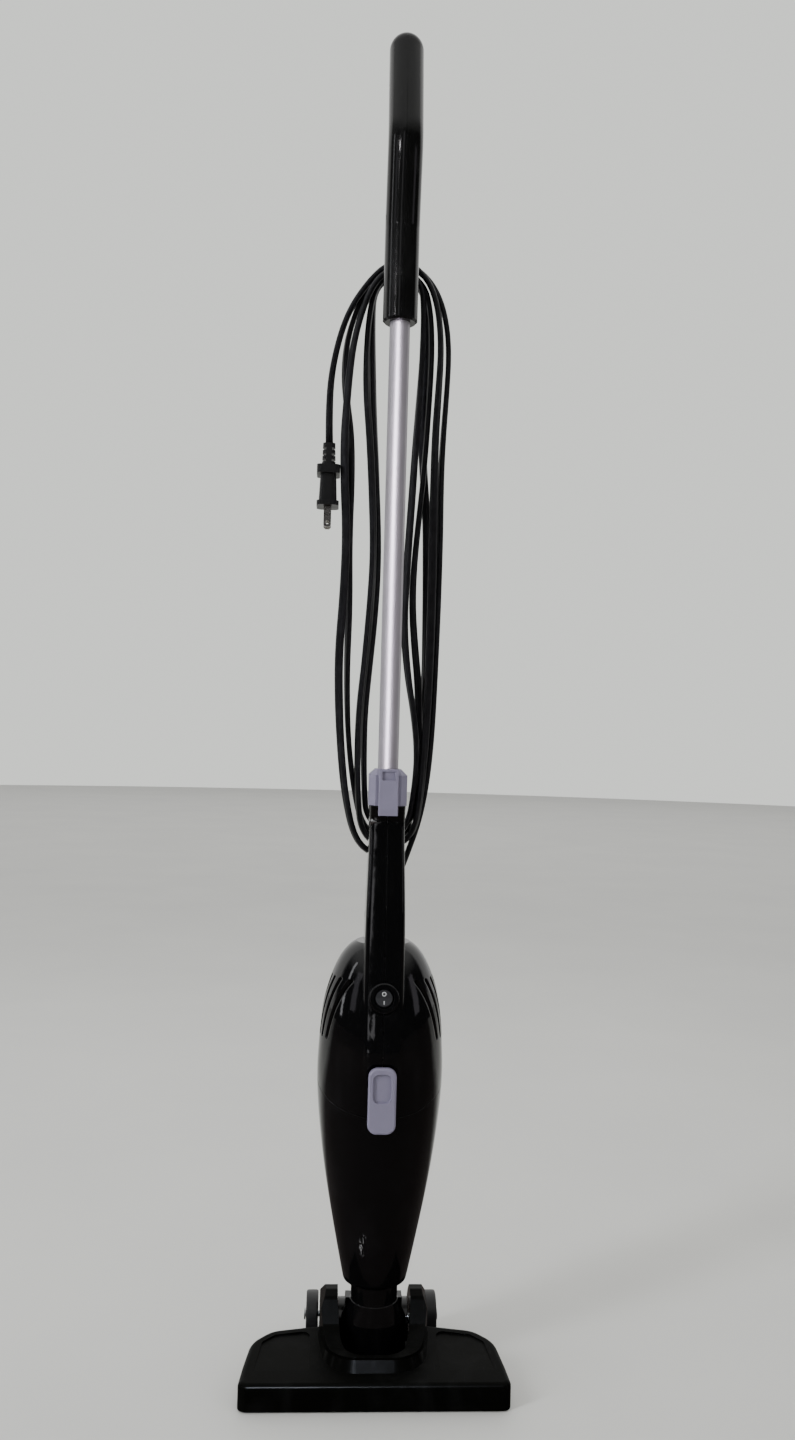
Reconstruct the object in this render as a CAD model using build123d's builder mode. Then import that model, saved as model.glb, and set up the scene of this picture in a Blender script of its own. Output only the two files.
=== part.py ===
from build123d import *
import math
import os

os.makedirs("parts", exist_ok=True)

# Upright stick vacuum cleaner, mm. Front is -Y, +X is the viewer's right, floor is z = 0.
# x = 0, y = 0 is the axis of the wand tube.

# ---------------------------------------------------------------- driving dimensions
WALL = 2.4
RUN = 0.06          # radial clearance of a running fit

HEAD_HALF = 107.0   # half width of the floor head at its front edge
HEAD_FRONT = -66.0
HEAD_TOP_F = 21.0   # top surface height at the front edge
HEAD_SLOPE = 6.5 / 66.0
WHEEL_R = 18.8
WHEEL_Y = 48.5
WHEEL_IN, WHEEL_OUT = 45.6, 56.0
AXLE_R = 2.5
ARM_IN, ARM_OUT = 29.8, 44.5
TILT_Y, TILT_Z = 18.0, 30.0
TILT_PIN_R = 4.0
DRUM_R = 17.0
DRUM_HALF = 29.0

CUP_BOTTOM = 72.0
SPIGOT_R = 16.9
PART_Y, PART_Z, PART_SLOPE = 4.0, 239.0, 0.44    # parting plane cup / motor housing
PART_GAP = 0.25

NECK_TOP = 464.0
NECK_LEAN = 0.129
SWITCH_Z = 312.0
SOCKET_R = 10.5     # wand spigot
TUBE_R, TUBE_IN = 8.5, 7.3
COLLAR_TOP = 494.2

MOTOR_Y = 10.0
FAN_BOTTOM = 262.0

HANDLE_R = 14.5
HANDLE_BOTTOM = 866.0
HANDLE_PATH = [(0, 866.0), (0, 946.0), (-17.0, 1012.0), (8.0, 1098.5)]   # (y, z)

CORD_R = 3.2
PLUG_X, PLUG_Y, PLUG_TOP = -56.4, 31.0, 770.6

LATCH_PIN_Y, LATCH_PIN_Z = -42.2, 233.0
TONGUE_PIN_Y, TONGUE_PIN_Z = -14.6, 476.0
FLAP_Y, FLAP_Z = 18.6, 113.2

# height, centre y, half width, half depth of the teardrop body
BODY = [
    (CUP_BOTTOM, 0.45, 25.5, 21.9),
    (88.0, 0.9, 29.0, 26.0),
    (129.0, 2.2, 37.4, 34.8),
    (170.0, 3.4, 44.8, 42.2),
    (210.0, 4.0, 50.0, 46.8),
    (251.0, 4.0, 52.0, 48.2),
    (281.0, 4.5, 50.4, 46.2),
    (302.0, 5.0, 47.7, 43.0),
    (322.0, 6.0, 42.3, 38.0),
    (339.5, 8.0, 33.9, 31.2),
    (350.0, 10.0, 22.4, 21.6),
]
# height, half width, front y, rear y of the neck
NECK = [
    (464.0, 14.8, -17.5, 16.0),
    (400.0, 15.5, -25.8, 16.4),
    (342.0, 16.4, -33.2, 17.0),
    (290.0, 16.6, -39.9, 17.6),
    (262.0, 16.4, -44.0, 17.8),
    (236.0, 15.4, -41.6, 18.0),
]

part_len = math.hypot(1.0, PART_SLOPE)
PARTING = Plane(
    origin=(0, PART_Y, PART_Z),
    x_dir=(1, 0, 0),
    z_dir=(0, -PART_SLOPE / part_len, 1.0 / part_len),
)


# ---------------------------------------------------------------- shared forms
def body_form(inset, drop):
    """Teardrop body, moved in by inset; the dome is lowered by drop."""
    with BuildPart() as form:
        for z, cy, a, b in BODY:
            zz = z - drop if z > 260 else z
            if z < CUP_BOTTOM + 1:
                zz = z + drop
            with BuildSketch(Plane.XY.offset(zz)):
                with Locations((0, cy)):
                    Ellipse(a - inset, b - inset)
        loft()
    return form.part


def neck_form(inset, top):
    """Neck of the motor housing, crowned at the front, moved in by inset."""
    rows = []
    for z, w, yf, yr in NECK:
        if z <= top:
            rows.append((z, w, yf, yr))
    if rows[0][0] < top:
        z0, w0, f0, r0 = NECK[0]
        z1, w1, f1, r1 = NECK[1]
        t = (top - z1) / (z0 - z1)
        rows.insert(0, (top, w1 + t * (w0 - w1), f1 + t * (f0 - f1), r1 + t * (r0 - r1)))
    with BuildPart() as form:
        for z, w, yf, yr in rows:
            ww, f, r = w - inset, yf + inset, yr - inset
            with BuildSketch(Plane.XY.offset(z)) as sk:
                with BuildLine():
                    Line((-ww, f + 1.6), (-ww, r))
                    Line((-ww, r), (ww, r))
                    Line((ww, r), (ww, f + 1.6))
                    ThreePointArc((ww, f + 1.6), (0, f), (-ww, f + 1.6))
                make_face()
                fillet(sk.vertices().group_by(Axis.Y)[0], 4.6 - 0.8 * inset)
                fillet(sk.vertices().group_by(Axis.Y)[-1], 6.5 - inset)
        loft()
    return form.part


HEAD_PTS = [
    (-HEAD_HALF, HEAD_FRONT),
    (HEAD_HALF, HEAD_FRONT),
    (104.2, -40.0),
    (99.8, -10.0),
    (84.0, 5.0),
    (45.0, 12.0),
    (-45.0, 12.0),
    (-84.0, 5.0),
    (-99.8, -10.0),
    (-104.2, -40.0),
]


def head_form(z0, inset, lower):
    """Plan of the floor head, moved in by inset, under its sloping top lowered by lower."""
    with BuildPart() as form:
        with BuildSketch(Plane.XY.offset(z0)) as sk:
            with BuildLine():
                Polyline(*HEAD_PTS, close=True)
            make_face()
            corner = [v for v in sk.vertices() if -12 < v.Y < 8]
            fillet(corner, 24.0)
            front = [v for v in sk.vertices() if v.Y < -65]
            fillet(front, 7.0)
            side = [v for v in sk.vertices() if abs(v.X) > 103 and -42 < v.Y < -38]
            fillet(side, 60.0)
            rear = [v for v in sk.vertices() if v.Y > 11.5]
            fillet(rear, 30.0)
            if inset:
                offset(amount=-inset, kind=Kind.INTERSECTION)
        extrude(amount=45)
        n = math.hypot(1.0, HEAD_SLOPE)
        split(
            bisect_by=Plane(
                origin=(0, HEAD_FRONT, HEAD_TOP_F - lower),
                x_dir=(1, 0, 0),
                z_dir=(0, -HEAD_SLOPE / n, 1.0 / n),
            ),
            keep=Keep.BOTTOM,
        )
    return form.part


def pocket_form(grow, z0, z1):
    """Room between the yoke's arms."""
    with BuildPart() as form:
        with BuildSketch(Plane.XY.offset(z0)) as sk:
            with BuildLine():
                Polyline(
                    (ARM_IN + grow, 75),
                    (ARM_IN + grow, -8),
                    (25.5 + grow, -43.5 - grow),
                    (-25.5 - grow, -43.5 - grow),
                    (-ARM_IN - grow, -8),
                    (-ARM_IN - grow, 75),
                    close=True,
                )
            make_face()
            fillet([v for v in sk.vertices() if v.Y < -40], 20.0 + grow)
        extrude(amount=z1 - z0)
    return form.part


body_outer = body_form(0.0, 0.0)
body_inner = body_form(WALL, WALL)
neck_outer = neck_form(0.0, NECK_TOP)
neck_inner = neck_form(WALL, 418.0)

# ================================================================ floor head
SOLE_SCREWS = [(-94.0, -33.0, 23.0), (94.0, -33.0, 23.0), (-62.0, -14.0, 24.2), (62.0, -14.0, 24.2)]

with BuildPart() as yoke_form:
    with BuildSketch(Plane.XY.offset(1.0)) as sk:
        with BuildLine():
            Polyline(
                (ARM_OUT, 64),
                (ARM_OUT, -6),
                (36.0, -47.0),
                (-36.0, -47.0),
                (-ARM_OUT, -6),
                (-ARM_OUT, 64),
                close=True,
            )
        make_face()
        fillet([v for v in sk.vertices() if v.Y < -40], 26.0)
        fillet([v for v in sk.vertices() if -10 < v.Y < 0], 40.0)
    extrude(amount=64)
    with BuildSketch(Plane.YZ) as sk:
        with BuildLine():
            Polyline(
                (-47.5, 1.0),
                (-47.5, 32.0),
                (-36.0, 33.0),
                (-20.0, 44.0),
                (-7.0, 60.0),
                (2.0, 62.5),
                (13.0, 61.5),
                (26.0, 51.0),
                (42.0, 31.0),
                (58.0, 27.0),
                (60.0, 12.0),
                (52.0, 5.0),
                (36.0, 1.0),
                close=True,
            )
        make_face()
        fillet([v for v in sk.vertices() if v.Y > 25 and v.X > -40], 6.0)
        fillet([v for v in sk.vertices() if v.Y < 13 and v.X > 50], 4.0)
    extrude(amount=70, both=True, mode=Mode.INTERSECT)
    # outer top edges of the arms
    with BuildSketch(Plane.XZ):
        with BuildLine():
            Polyline((-46, 0), (-46, 46.5), (-39.6, 63), (39.6, 63), (46, 46.5), (46, 0), close=True)
        make_face()
    extrude(amount=80, both=True, mode=Mode.INTERSECT)

with BuildPart() as skirt_form:
    with BuildSketch(Plane.XY.offset(19.0)) as sk:
        with BuildLine():
            Polyline((50, 0), (47.5, -10), (42, -53.5), (-42, -53.5), (-47.5, -10), (-50, 0), close=True)
        make_face()
        fillet([v for v in sk.vertices() if v.Y < -40], 30.0)
    with BuildSketch(Plane.XY.offset(30.5)) as sk:
        with BuildLine():
            Polyline((44.4, 0), (43.4, -10), (35.9, -46.9), (-35.9, -46.9), (-43.4, -10), (-44.4, 0), close=True)
        make_face()
        fillet([v for v in sk.vertices() if v.Y < -40], 26.0)
    loft()

# shallow panels on the head's top, left and right, fading out towards the front
PANEL_FLOOR = Plane(origin=(0, -52, 22.5), x_dir=(1, 0, 0), z_dir=(0, -0.07, 1))
with BuildPart() as panel_form:
    for side in (-1, 1):
        with BuildSketch(Plane.XY.offset(10)) as sk:
            with BuildLine():
                Polyline(
                    (side * 52, 2.5),
                    (side * 80, -2.5),
                    (side * 90.5, -12.0),
                    (side * 95.5, -52),
                    (side * 52, -52),
                    close=True,
                )
            make_face()
            fillet([v for v in sk.vertices() if v.Y > -30], 6.0)
        extrude(amount=40)
    split(bisect_by=PANEL_FLOOR, keep=Keep.TOP)

# air chamber of the head; the walls and floor of the pocket stay standing in it
with BuildPart() as chamber_form:
    add(head_form(0.0, WALL, WALL))
    add(pocket_form(WALL, 12.6, 60.0), mode=Mode.SUBTRACT)

# room of the sole plate
with BuildPart() as sole_room:
    add(head_form(0.0, WALL, 0.0))
    split(bisect_by=Plane.XY.offset(3.05), keep=Keep.BOTTOM)

with BuildPart() as head_shell:
    add(head_form(1.0, 0.0, 0.0))
    top = head_shell.faces().filter_by(lambda f: f.normal_at().Z > 0.9)
    fillet(top.edges(), 4.5)
    add(panel_form.part, mode=Mode.SUBTRACT)
    add(skirt_form.part)
    add(yoke_form.part)
    add(chamber_form.part, mode=Mode.SUBTRACT)
    # rear deck joining the arms
    with BuildSketch(Plane.XY.offset(1.0)):
        with Locations((0, 19.0)):
            Rectangle(2 * ARM_OUT - 2, 38.0)
    extrude(amount=8.0)
    add(sole_room.part, mode=Mode.SUBTRACT)
    add(pocket_form(0.0, 15.0, 80.0), mode=Mode.SUBTRACT)
    with BuildSketch(Plane.XY.offset(9.0)):
        with Locations((0, 41.0)):
            Rectangle(2 * ARM_IN, 78.0)
    extrude(amount=80.0, mode=Mode.SUBTRACT)
    with BuildSketch(Plane.XY):
        with Locations((0, 60.0)):
            Rectangle(2 * ARM_IN, 44.0)
    extrude(amount=40.0, mode=Mode.SUBTRACT)
    # air way from the chamber to the swivel drum
    with BuildSketch(Plane.XY.offset(3.0)):
        with Locations((0, 0)):
            Rectangle(32, 20)
    extrude(amount=9.6, mode=Mode.SUBTRACT)
    # pivot and axle bores
    with BuildSketch(Plane.YZ):
        with Locations((TILT_Y, TILT_Z)):
            Circle(TILT_PIN_R)
        with Locations((WHEEL_Y, WHEEL_R)):
            Circle(AXLE_R)
    extrude(amount=60, both=True, mode=Mode.SUBTRACT)
    # bosses for the sole screws
    for x, y, zt in SOLE_SCREWS:
        with BuildSketch(Plane.XY.offset(3.0)):
            with Locations((x, y)):
                Circle(3.6)
        extrude(amount=zt - 3.0)
        with BuildSketch(Plane.XY.offset(3.0)):
            with Locations((x, y)):
                Circle(1.45)
        extrude(amount=13.0, mode=Mode.SUBTRACT)
head_shell.part.label = "head_shell"
export_step(head_shell.part, "parts/head_shell.step")

with BuildPart() as sole_plate:
    add(head_form(0.0, WALL + 0.1, 0.0))
    split(bisect_by=Plane.XY.offset(3.0), keep=Keep.BOTTOM)
    with BuildSketch(Plane.XY):
        with Locations((0, -47.5)):
            SlotOverall(176, 11)
        with Locations((0, -37.2)):
            Rectangle(172, 3.4)
    extrude(amount=4.0, mode=Mode.SUBTRACT)
    with BuildSketch(Plane.XY):
        with Locations(*[(x, y) for x, y, zt in SOLE_SCREWS]):
            Circle(3.3)
    extrude(amount=1.8, mode=Mode.SUBTRACT)
    with BuildSketch(Plane.XY):
        with Locations(*[(x, y) for x, y, zt in SOLE_SCREWS]):
            Circle(1.6)
    extrude(amount=4.0, mode=Mode.SUBTRACT)
sole_plate.part.label = "sole_plate"
export_step(sole_plate.part, "parts/sole_plate.step")

with BuildPart() as bristle_strip:
    with BuildSketch(Plane.XY.offset(0.1)):
        with Locations((0, -37.2)):
            Rectangle(172, 3.4)
    extrude(amount=5.0)
bristle_strip.part.label = "bristle_strip"
export_step(bristle_strip.part, "parts/bristle_strip.step")

with BuildPart() as sole_screws:
    with BuildSketch(Plane.XY.offset(0.2)):
        with Locations(*[(x, y) for x, y, zt in SOLE_SCREWS]):
            Circle(3.0)
    extrude(amount=1.6)
    with BuildSketch(Plane.XY.offset(1.8)):
        with Locations(*[(x, y) for x, y, zt in SOLE_SCREWS]):
            Circle(1.45)
    extrude(amount=13.0)
    with BuildSketch(Plane.XY.offset(0.2)):
        with Locations(*[(x, y) for x, y, zt in SOLE_SCREWS]):
            Rectangle(3.6, 0.8)
            Rectangle(0.8, 3.6)
    extrude(amount=0.9, mode=Mode.SUBTRACT)
sole_screws.part.label = "sole_screws"
export_step(sole_screws.part, "parts/sole_screws.step")

with BuildPart() as tilt_pins:
    for side in (-1, 1):
        with BuildSketch(Plane.YZ.offset(side * 22.5)):
            with Locations((TILT_Y, TILT_Z)):
                Circle(TILT_PIN_R)
        extrude(amount=side * 22.0)
tilt_pins.part.label = "tilt_pins"
export_step(tilt_pins.part, "parts/tilt_pins.step")

with BuildPart() as wheel_axles:
    for side in (-1, 1):
        with BuildSketch(Plane.YZ.offset(side * 31.0)):
            with Locations((WHEEL_Y, WHEEL_R)):
                Circle(AXLE_R)
        extrude(amount=side * 25.4)
        with BuildSketch(Plane.YZ.offset(side * 56.4)):
            with Locations((WHEEL_Y, WHEEL_R)):
                Circle(4.6)
        extrude(amount=side * 1.3)
wheel_axles.part.label = "wheel_axles"
export_step(wheel_axles.part, "parts/wheel_axles.step")


def wheel_form(side):
    with BuildPart() as form:
        with BuildSketch(Plane.YZ.offset(side * WHEEL_IN)):
            with Locations((WHEEL_Y, WHEEL_R)):
                Circle(WHEEL_R)
        extrude(amount=side * (WHEEL_OUT - WHEEL_IN))
        fillet(form.edges().filter_by(GeomType.CIRCLE), 1.8)
        # dished outer face with a hub
        with BuildSketch(Plane.YZ.offset(side * WHEEL_OUT)):
            with Locations((WHEEL_Y, WHEEL_R)):
                Circle(13.2)
                Circle(6.4, mode=Mode.SUBTRACT)
        extrude(amount=-side * 1.6, mode=Mode.SUBTRACT)
        with BuildSketch(Plane.YZ.offset(side * (WHEEL_IN - 1))):
            with Locations((WHEEL_Y, WHEEL_R)):
                Circle(AXLE_R + RUN)
        extrude(amount=side * 20, mode=Mode.SUBTRACT)
    return form.part


with BuildPart() as left_wheel:
    add(wheel_form(-1))
left_wheel.part.label = "left_wheel"
export_step(left_wheel.part, "parts/left_wheel.step")

with BuildPart() as right_wheel:
    add(wheel_form(1))
right_wheel.part.label = "right_wheel"
export_step(right_wheel.part, "parts/right_wheel.step")

# ================================================================ elbow
def apron_form(inset):
    """Front half of the elbow's apron, moved in by inset."""
    with BuildPart() as form:
        with BuildSketch(Plane.XY.offset(17.5 - inset)):
            Ellipse(26.8 - inset, 22.4 - inset)
        with BuildSketch(Plane.XY.offset(42.0 - inset)):
            Ellipse(26.4 - inset, 22.0 - inset)
        with BuildSketch(Plane.XY.offset(57.0 - inset)):
            Ellipse(19.6 - inset, 19.5 - inset)
        loft(ruled=True)
        split(bisect_by=Plane.XZ.offset(-8.0 - inset), keep=Keep.TOP)
    return form.part


with BuildPart() as elbow:
    add(apron_form(0.0))
    add(apron_form(2.4), mode=Mode.SUBTRACT)
    with BuildSketch(Plane.YZ):
        with Locations((TILT_Y, TILT_Z)):
            Circle(DRUM_R)
    extrude(amount=DRUM_HALF, both=True)
    with BuildSketch(Plane.XY.offset(30.0)):
        with Locations((0, TILT_Y)):
            RectangleRounded(46, 33.8, 7)
    with BuildSketch(Plane.XY.offset(47.0)):
        RectangleRounded(39.6, 39.6, 19.7)
    loft()
    with BuildSketch(Plane.XY.offset(47.0)):
        Circle(19.2)
    extrude(amount=CUP_BOTTOM - 0.6 - 47.0)
    # ears that carry the pivots up to the socket
    with BuildSketch(Plane.YZ):
        with BuildLine():
            Polyline((6, 38), (2, 55.5), (14, 55.5), (30, 42), close=True)
        make_face()
    extrude(amount=23.5, both=True)
    # socket, throat and drum
    with BuildSketch(Plane.XY.offset(39.0)):
        Circle(SPIGOT_R + 0.3)
    extrude(amount=36, mode=Mode.SUBTRACT)
    with BuildSketch(Plane.XY.offset(44.0)):
        Circle(18.4)
    extrude(amount=3.0, mode=Mode.SUBTRACT)
    with BuildSketch(Plane.XY.offset(28.0)):
        with Locations((0, TILT_Y - 2)):
            RectangleRounded(29, 24, 9)
    with BuildSketch(Plane.XY.offset(39.05)):
        RectangleRounded(29.2, 29.2, 14.5)
    loft(mode=Mode.SUBTRACT)
    with BuildSketch(Plane.YZ):
        with Locations((TILT_Y, TILT_Z)):
            Circle(14.0)
    extrude(amount=20.5, both=True, mode=Mode.SUBTRACT)
    with BuildSketch(Plane.YZ):
        with BuildLine():
            Polyline((TILT_Y, TILT_Z), (TILT_Y - 26, TILT_Z - 4), (TILT_Y - 20, TILT_Z - 26), (TILT_Y + 4, TILT_Z - 26), close=True)
        make_face()
    extrude(amount=15.5, both=True, mode=Mode.SUBTRACT)
    with BuildSketch(Plane.YZ):
        with Locations((TILT_Y, TILT_Z)):
            Circle(TILT_PIN_R + RUN)
    extrude(amount=40, both=True, mode=Mode.SUBTRACT)
elbow.part.label = "elbow"
export_step(elbow.part, "parts/elbow.step")

with BuildPart() as elbow_seal:
    with BuildSketch(Plane.XY.offset(44.0)):
        Circle(18.4)
        Circle(SPIGOT_R + 0.05, mode=Mode.SUBTRACT)
    extrude(amount=3.0)
elbow_seal.part.label = "elbow_seal"
export_step(elbow_seal.part, "parts/elbow_seal.step")

# ================================================================ dust cup
with BuildPart() as dust_cup:
    add(body_outer)
    split(bisect_by=PARTING.offset(-PART_GAP), keep=Keep.BOTTOM)
    fillet(dust_cup.faces().sort_by(Axis.Z)[0].edges(), 4.0)
    add(body_inner, mode=Mode.SUBTRACT)
    with BuildSketch(Plane.XY.offset(39.5)):
        Circle(SPIGOT_R)
    extrude(amount=CUP_BOTTOM + 0.5 - 39.5)
    with BuildSketch(Plane.XY.offset(CUP_BOTTOM + 0.2)):
        Circle(16.4)
    extrude(amount=112.0 - CUP_BOTTOM - 0.2)
    # lugs of the inlet flap
    for side in (-1, 1):
        with BuildSketch(Plane.YZ.offset(side * 5.5)):
            with BuildLine():
                Polyline((14.0, 100.0), (21.4, 109.0), (21.4, 115.6), (16.4, 115.6), (15.6, 111.9), (14.0, 111.9), close=True)
            make_face()
        extrude(amount=side * 3.0)
    with BuildSketch(Plane.XY.offset(30.0)):
        Circle(14.3)
    extrude(amount=90.0, mode=Mode.SUBTRACT)
    with BuildSketch(Plane.YZ):
        with Locations((FLAP_Y, FLAP_Z)):
            Circle(0.8)
    extrude(amount=12.0, both=True, mode=Mode.SUBTRACT)
    # open notch for the latch's catch
    with BuildSketch(Plane.XZ.offset(36.0)):
        with Locations((0, 221.0)):
            Rectangle(13.0, 24.0)
    extrude(amount=16.0, mode=Mode.SUBTRACT)
dust_cup.part.label = "dust_cup"
export_step(dust_cup.part, "parts/dust_cup.step")

with BuildPart() as flap_pin:
    with BuildSketch(Plane.YZ.offset(-8.5)):
        with Locations((FLAP_Y, FLAP_Z)):
            Circle(0.8)
    extrude(amount=17.0)
flap_pin.part.label = "flap_pin"
export_step(flap_pin.part, "parts/flap_pin.step")

with BuildPart() as inlet_flap:
    with BuildSketch(Plane.XY.offset(112.3)):
        Circle(15.8)
        with Locations((0, 14.5)):
            Rectangle(9.8, 8.2)
    extrude(amount=1.4)
    with BuildSketch(Plane.YZ):
        with Locations((FLAP_Y, FLAP_Z)):
            Circle(1.8)
    extrude(amount=4.9, both=True)
    with BuildSketch(Plane.YZ):
        with Locations((FLAP_Y, FLAP_Z)):
            Circle(0.8 + RUN)
    extrude(amount=8.0, both=True, mode=Mode.SUBTRACT)
inlet_flap.part.label = "inlet_flap"
export_step(inlet_flap.part, "parts/inlet_flap.step")

# ================================================================ motor housing
SW_N = (0.0, -1.0 / math.hypot(1, NECK_LEAN), NECK_LEAN / math.hypot(1, NECK_LEAN))
SW_Y = -17.5 - (NECK_TOP - SWITCH_Z) * NECK_LEAN
SWITCH = Plane(origin=(0, SW_Y, SWITCH_Z), x_dir=(1, 0, 0), z_dir=SW_N)
GLAND = Plane(origin=(0, 27.0, 334.5), x_dir=(1, 0, 0), z_dir=(0.139, 0, 0.9903))
HOUSING_SCREWS = [(-14.4, 451.0, 12.0), (-4.0, 374.0, 13.0), (40.0, 292.0, 14.0)]
VENTS = [-20.0, -12.0, -4.0, 4.0, 12.0, 20.0, 28.0]

with BuildPart() as housing_outer:
    add(body_outer)
    add(neck_outer)
    with BuildSketch(GLAND):
        Circle(9.0)
    extrude(amount=18.0)
    split(bisect_by=PARTING.offset(PART_GAP), keep=Keep.TOP)

# block behind the cup latch, motor cradle rib and screw bosses, all kept inside the skin
with BuildPart() as inside:
    with BuildSketch(Plane.XZ.offset(36.0)):
        with Locations((0, 244.0)):
            Rectangle(27.0, 40.0)
    extrude(amount=14.0)
    with BuildSketch(Plane.XY.offset(270.0)):
        with Locations((0, 4)):
            Ellipse(60, 55)
        with Locations((0, MOTOR_Y)):
            Circle(36.7, mode=Mode.SUBTRACT)
    extrude(amount=2.4)
    with BuildSketch(Plane.YZ):
        with Locations(*[(y, z) for y, z, d in HOUSING_SCREWS]):
            Circle(3.6)
    extrude(amount=60, both=True)
    with BuildSketch(GLAND.offset(-1.0)):
        Circle(9.0)
    extrude(amount=6.0)
    add(housing_outer.part, mode=Mode.INTERSECT)

with BuildPart() as housing:
    add(housing_outer.part)
    add(body_inner, mode=Mode.SUBTRACT)
    add(neck_inner, mode=Mode.SUBTRACT)
    add(inside.part)
    # wand socket
    with BuildSketch(Plane.XY.offset(421.0)):
        Circle(SOCKET_R + RUN)
    extrude(amount=60, mode=Mode.SUBTRACT)
    # exhaust slots, slanting with the dome's sides
    for y in VENTS:
        with BuildSketch(Plane.YZ.offset(24.0)):
            with Locations(Location((y, 299.0), 0)):
                SlotOverall(50.0, 3.8, rotation=97)
        extrude(amount=40, mode=Mode.SUBTRACT)
        with BuildSketch(Plane.YZ.offset(-24.0)):
            with Locations(Location((y, 299.0), 0)):
                SlotOverall(50.0, 3.8, rotation=97)
        extrude(amount=-40, mode=Mode.SUBTRACT)
    # dished seat and hole of the rocker switch
    with BuildSketch(SWITCH.offset(-1.0)):
        Circle(13.7)
    extrude(amount=12, mode=Mode.SUBTRACT)
    with BuildSketch(SWITCH.offset(-12.0)):
        Circle(10.2)
    extrude(amount=20, mode=Mode.SUBTRACT)
    # pocket of the cup latch, slot for its rib, pin and spring holes
    with BuildSketch(Plane.XZ.offset(40.4)) as sk:
        with Locations((0, 250.4)):
            RectangleRounded(23.6, 21.6, 6.0)
    extrude(amount=20, mode=Mode.SUBTRACT)
    with BuildSketch(Plane.XZ.offset(38.6)):
        with Locations((0, 227.0)):
            Rectangle(12.4, 30.0)
    extrude(amount=20, mode=Mode.SUBTRACT)
    with BuildSketch(Plane.YZ):
        with Locations((LATCH_PIN_Y, LATCH_PIN_Z)):
            Circle(1.5)
    extrude(amount=10.0, both=True, mode=Mode.SUBTRACT)
    with BuildSketch(Plane.XZ.offset(37.6)):
        with Locations((0, 253.0)):
            Circle(3.2)
    extrude(amount=6, mode=Mode.SUBTRACT)
    # cord gland
    with BuildSketch(GLAND.offset(-6.0)):
        Circle(5.5)
    extrude(amount=40, mode=Mode.SUBTRACT)
    # screws go in from the left: counterbore and shank
    for y, z, d in HOUSING_SCREWS:
        with BuildSketch(Plane.YZ.offset(-d)):
            with Locations((y, z)):
                Circle(2.9)
        extrude(amount=-60, mode=Mode.SUBTRACT)
        with BuildSketch(Plane.YZ.offset(-d - 1)):
            with Locations((y, z)):
                Circle(1.45)
        extrude(amount=d + 9.0, mode=Mode.SUBTRACT)

with BuildPart() as left_housing:
    add(housing.part)
    split(bisect_by=Plane.YZ.offset(-0.08), keep=Keep.BOTTOM)
left_housing.part.label = "left_housing"
export_step(left_housing.part, "parts/left_housing.step")

with BuildPart() as right_housing:
    add(housing.part)
    split(bisect_by=Plane.YZ.offset(0.08), keep=Keep.TOP)
right_housing.part.label = "right_housing"
export_step(right_housing.part, "parts/right_housing.step")

with BuildPart() as housing_screws:
    for y, z, d in HOUSING_SCREWS:
        with BuildSketch(Plane.YZ.offset(-d)):
            with Locations((y, z)):
                Circle(2.7)
        extrude(amount=-1.9)
        with BuildSketch(Plane.YZ.offset(-d)):
            with Locations((y, z)):
                Circle(1.45)
        extrude(amount=d + 7.5)
        with BuildSketch(Plane.YZ.offset(-d - 1.9)):
            with Locations((y, z)):
                Rectangle(3.4, 0.7)
                Rectangle(0.7, 3.4)
        extrude(amount=0.9, mode=Mode.SUBTRACT)
housing_screws.part.label = "housing_screws"
export_step(housing_screws.part, "parts/housing_screws.step")

# bulkhead between cup and motor, with its skirt inside the cup's mouth
plug_in = body_form(WALL + 0.05, WALL)
skirt_out = body_form(WALL + 0.9, WALL)
skirt_in = body_form(WALL + 2.7, WALL)
seal_in = body_form(WALL + 5.5, WALL)

with BuildPart() as rim:
    add(skirt_out)
    add(skirt_in, mode=Mode.SUBTRACT)
    split(bisect_by=PARTING.offset(0.3), keep=Keep.BOTTOM)
    split(bisect_by=PARTING.offset(-5.5), keep=Keep.TOP)

with BuildPart() as bulkhead:
    add(plug_in)
    split(bisect_by=PARTING.offset(3.2), keep=Keep.BOTTOM)
    split(bisect_by=PARTING.offset(0.3), keep=Keep.TOP)
    add(rim.part)
    # room for the latch block and its catch
    with BuildSketch(Plane.XZ.offset(35.6)):
        with Locations((0, 230.0)):
            Rectangle(28.0, 60.0)
    extrude(amount=20.0, mode=Mode.SUBTRACT)
    # air hole
    with BuildSketch(PARTING):
        with Locations((0, 5.0)):
            Circle(21.0)
    extrude(amount=12.0, both=True, mode=Mode.SUBTRACT)
bulkhead.part.label = "bulkhead"
export_step(bulkhead.part, "parts/bulkhead.step")

with BuildPart() as cup_seal:
    add(skirt_in)
    add(seal_in, mode=Mode.SUBTRACT)
    split(bisect_by=PARTING.offset(0.3), keep=Keep.BOTTOM)
    split(bisect_by=PARTING.offset(-2.2), keep=Keep.TOP)
    with BuildSketch(Plane.XZ.offset(35.6)):
        with Locations((0, 230.0)):
            Rectangle(28.0, 60.0)
    extrude(amount=20.0, mode=Mode.SUBTRACT)
cup_seal.part.label = "cup_seal"
export_step(cup_seal.part, "parts/cup_seal.step")

# ---------------------------------------------------------------- filter
FILTER_Y = 6.0


def star(r_out, r_in, n):
    pts = []
    for i in range(2 * n):
        r = r_out if i % 2 == 0 else r_in
        a = math.pi * i / n
        pts.append((r * math.cos(a), FILTER_Y + r * math.sin(a)))
    return pts


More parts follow.
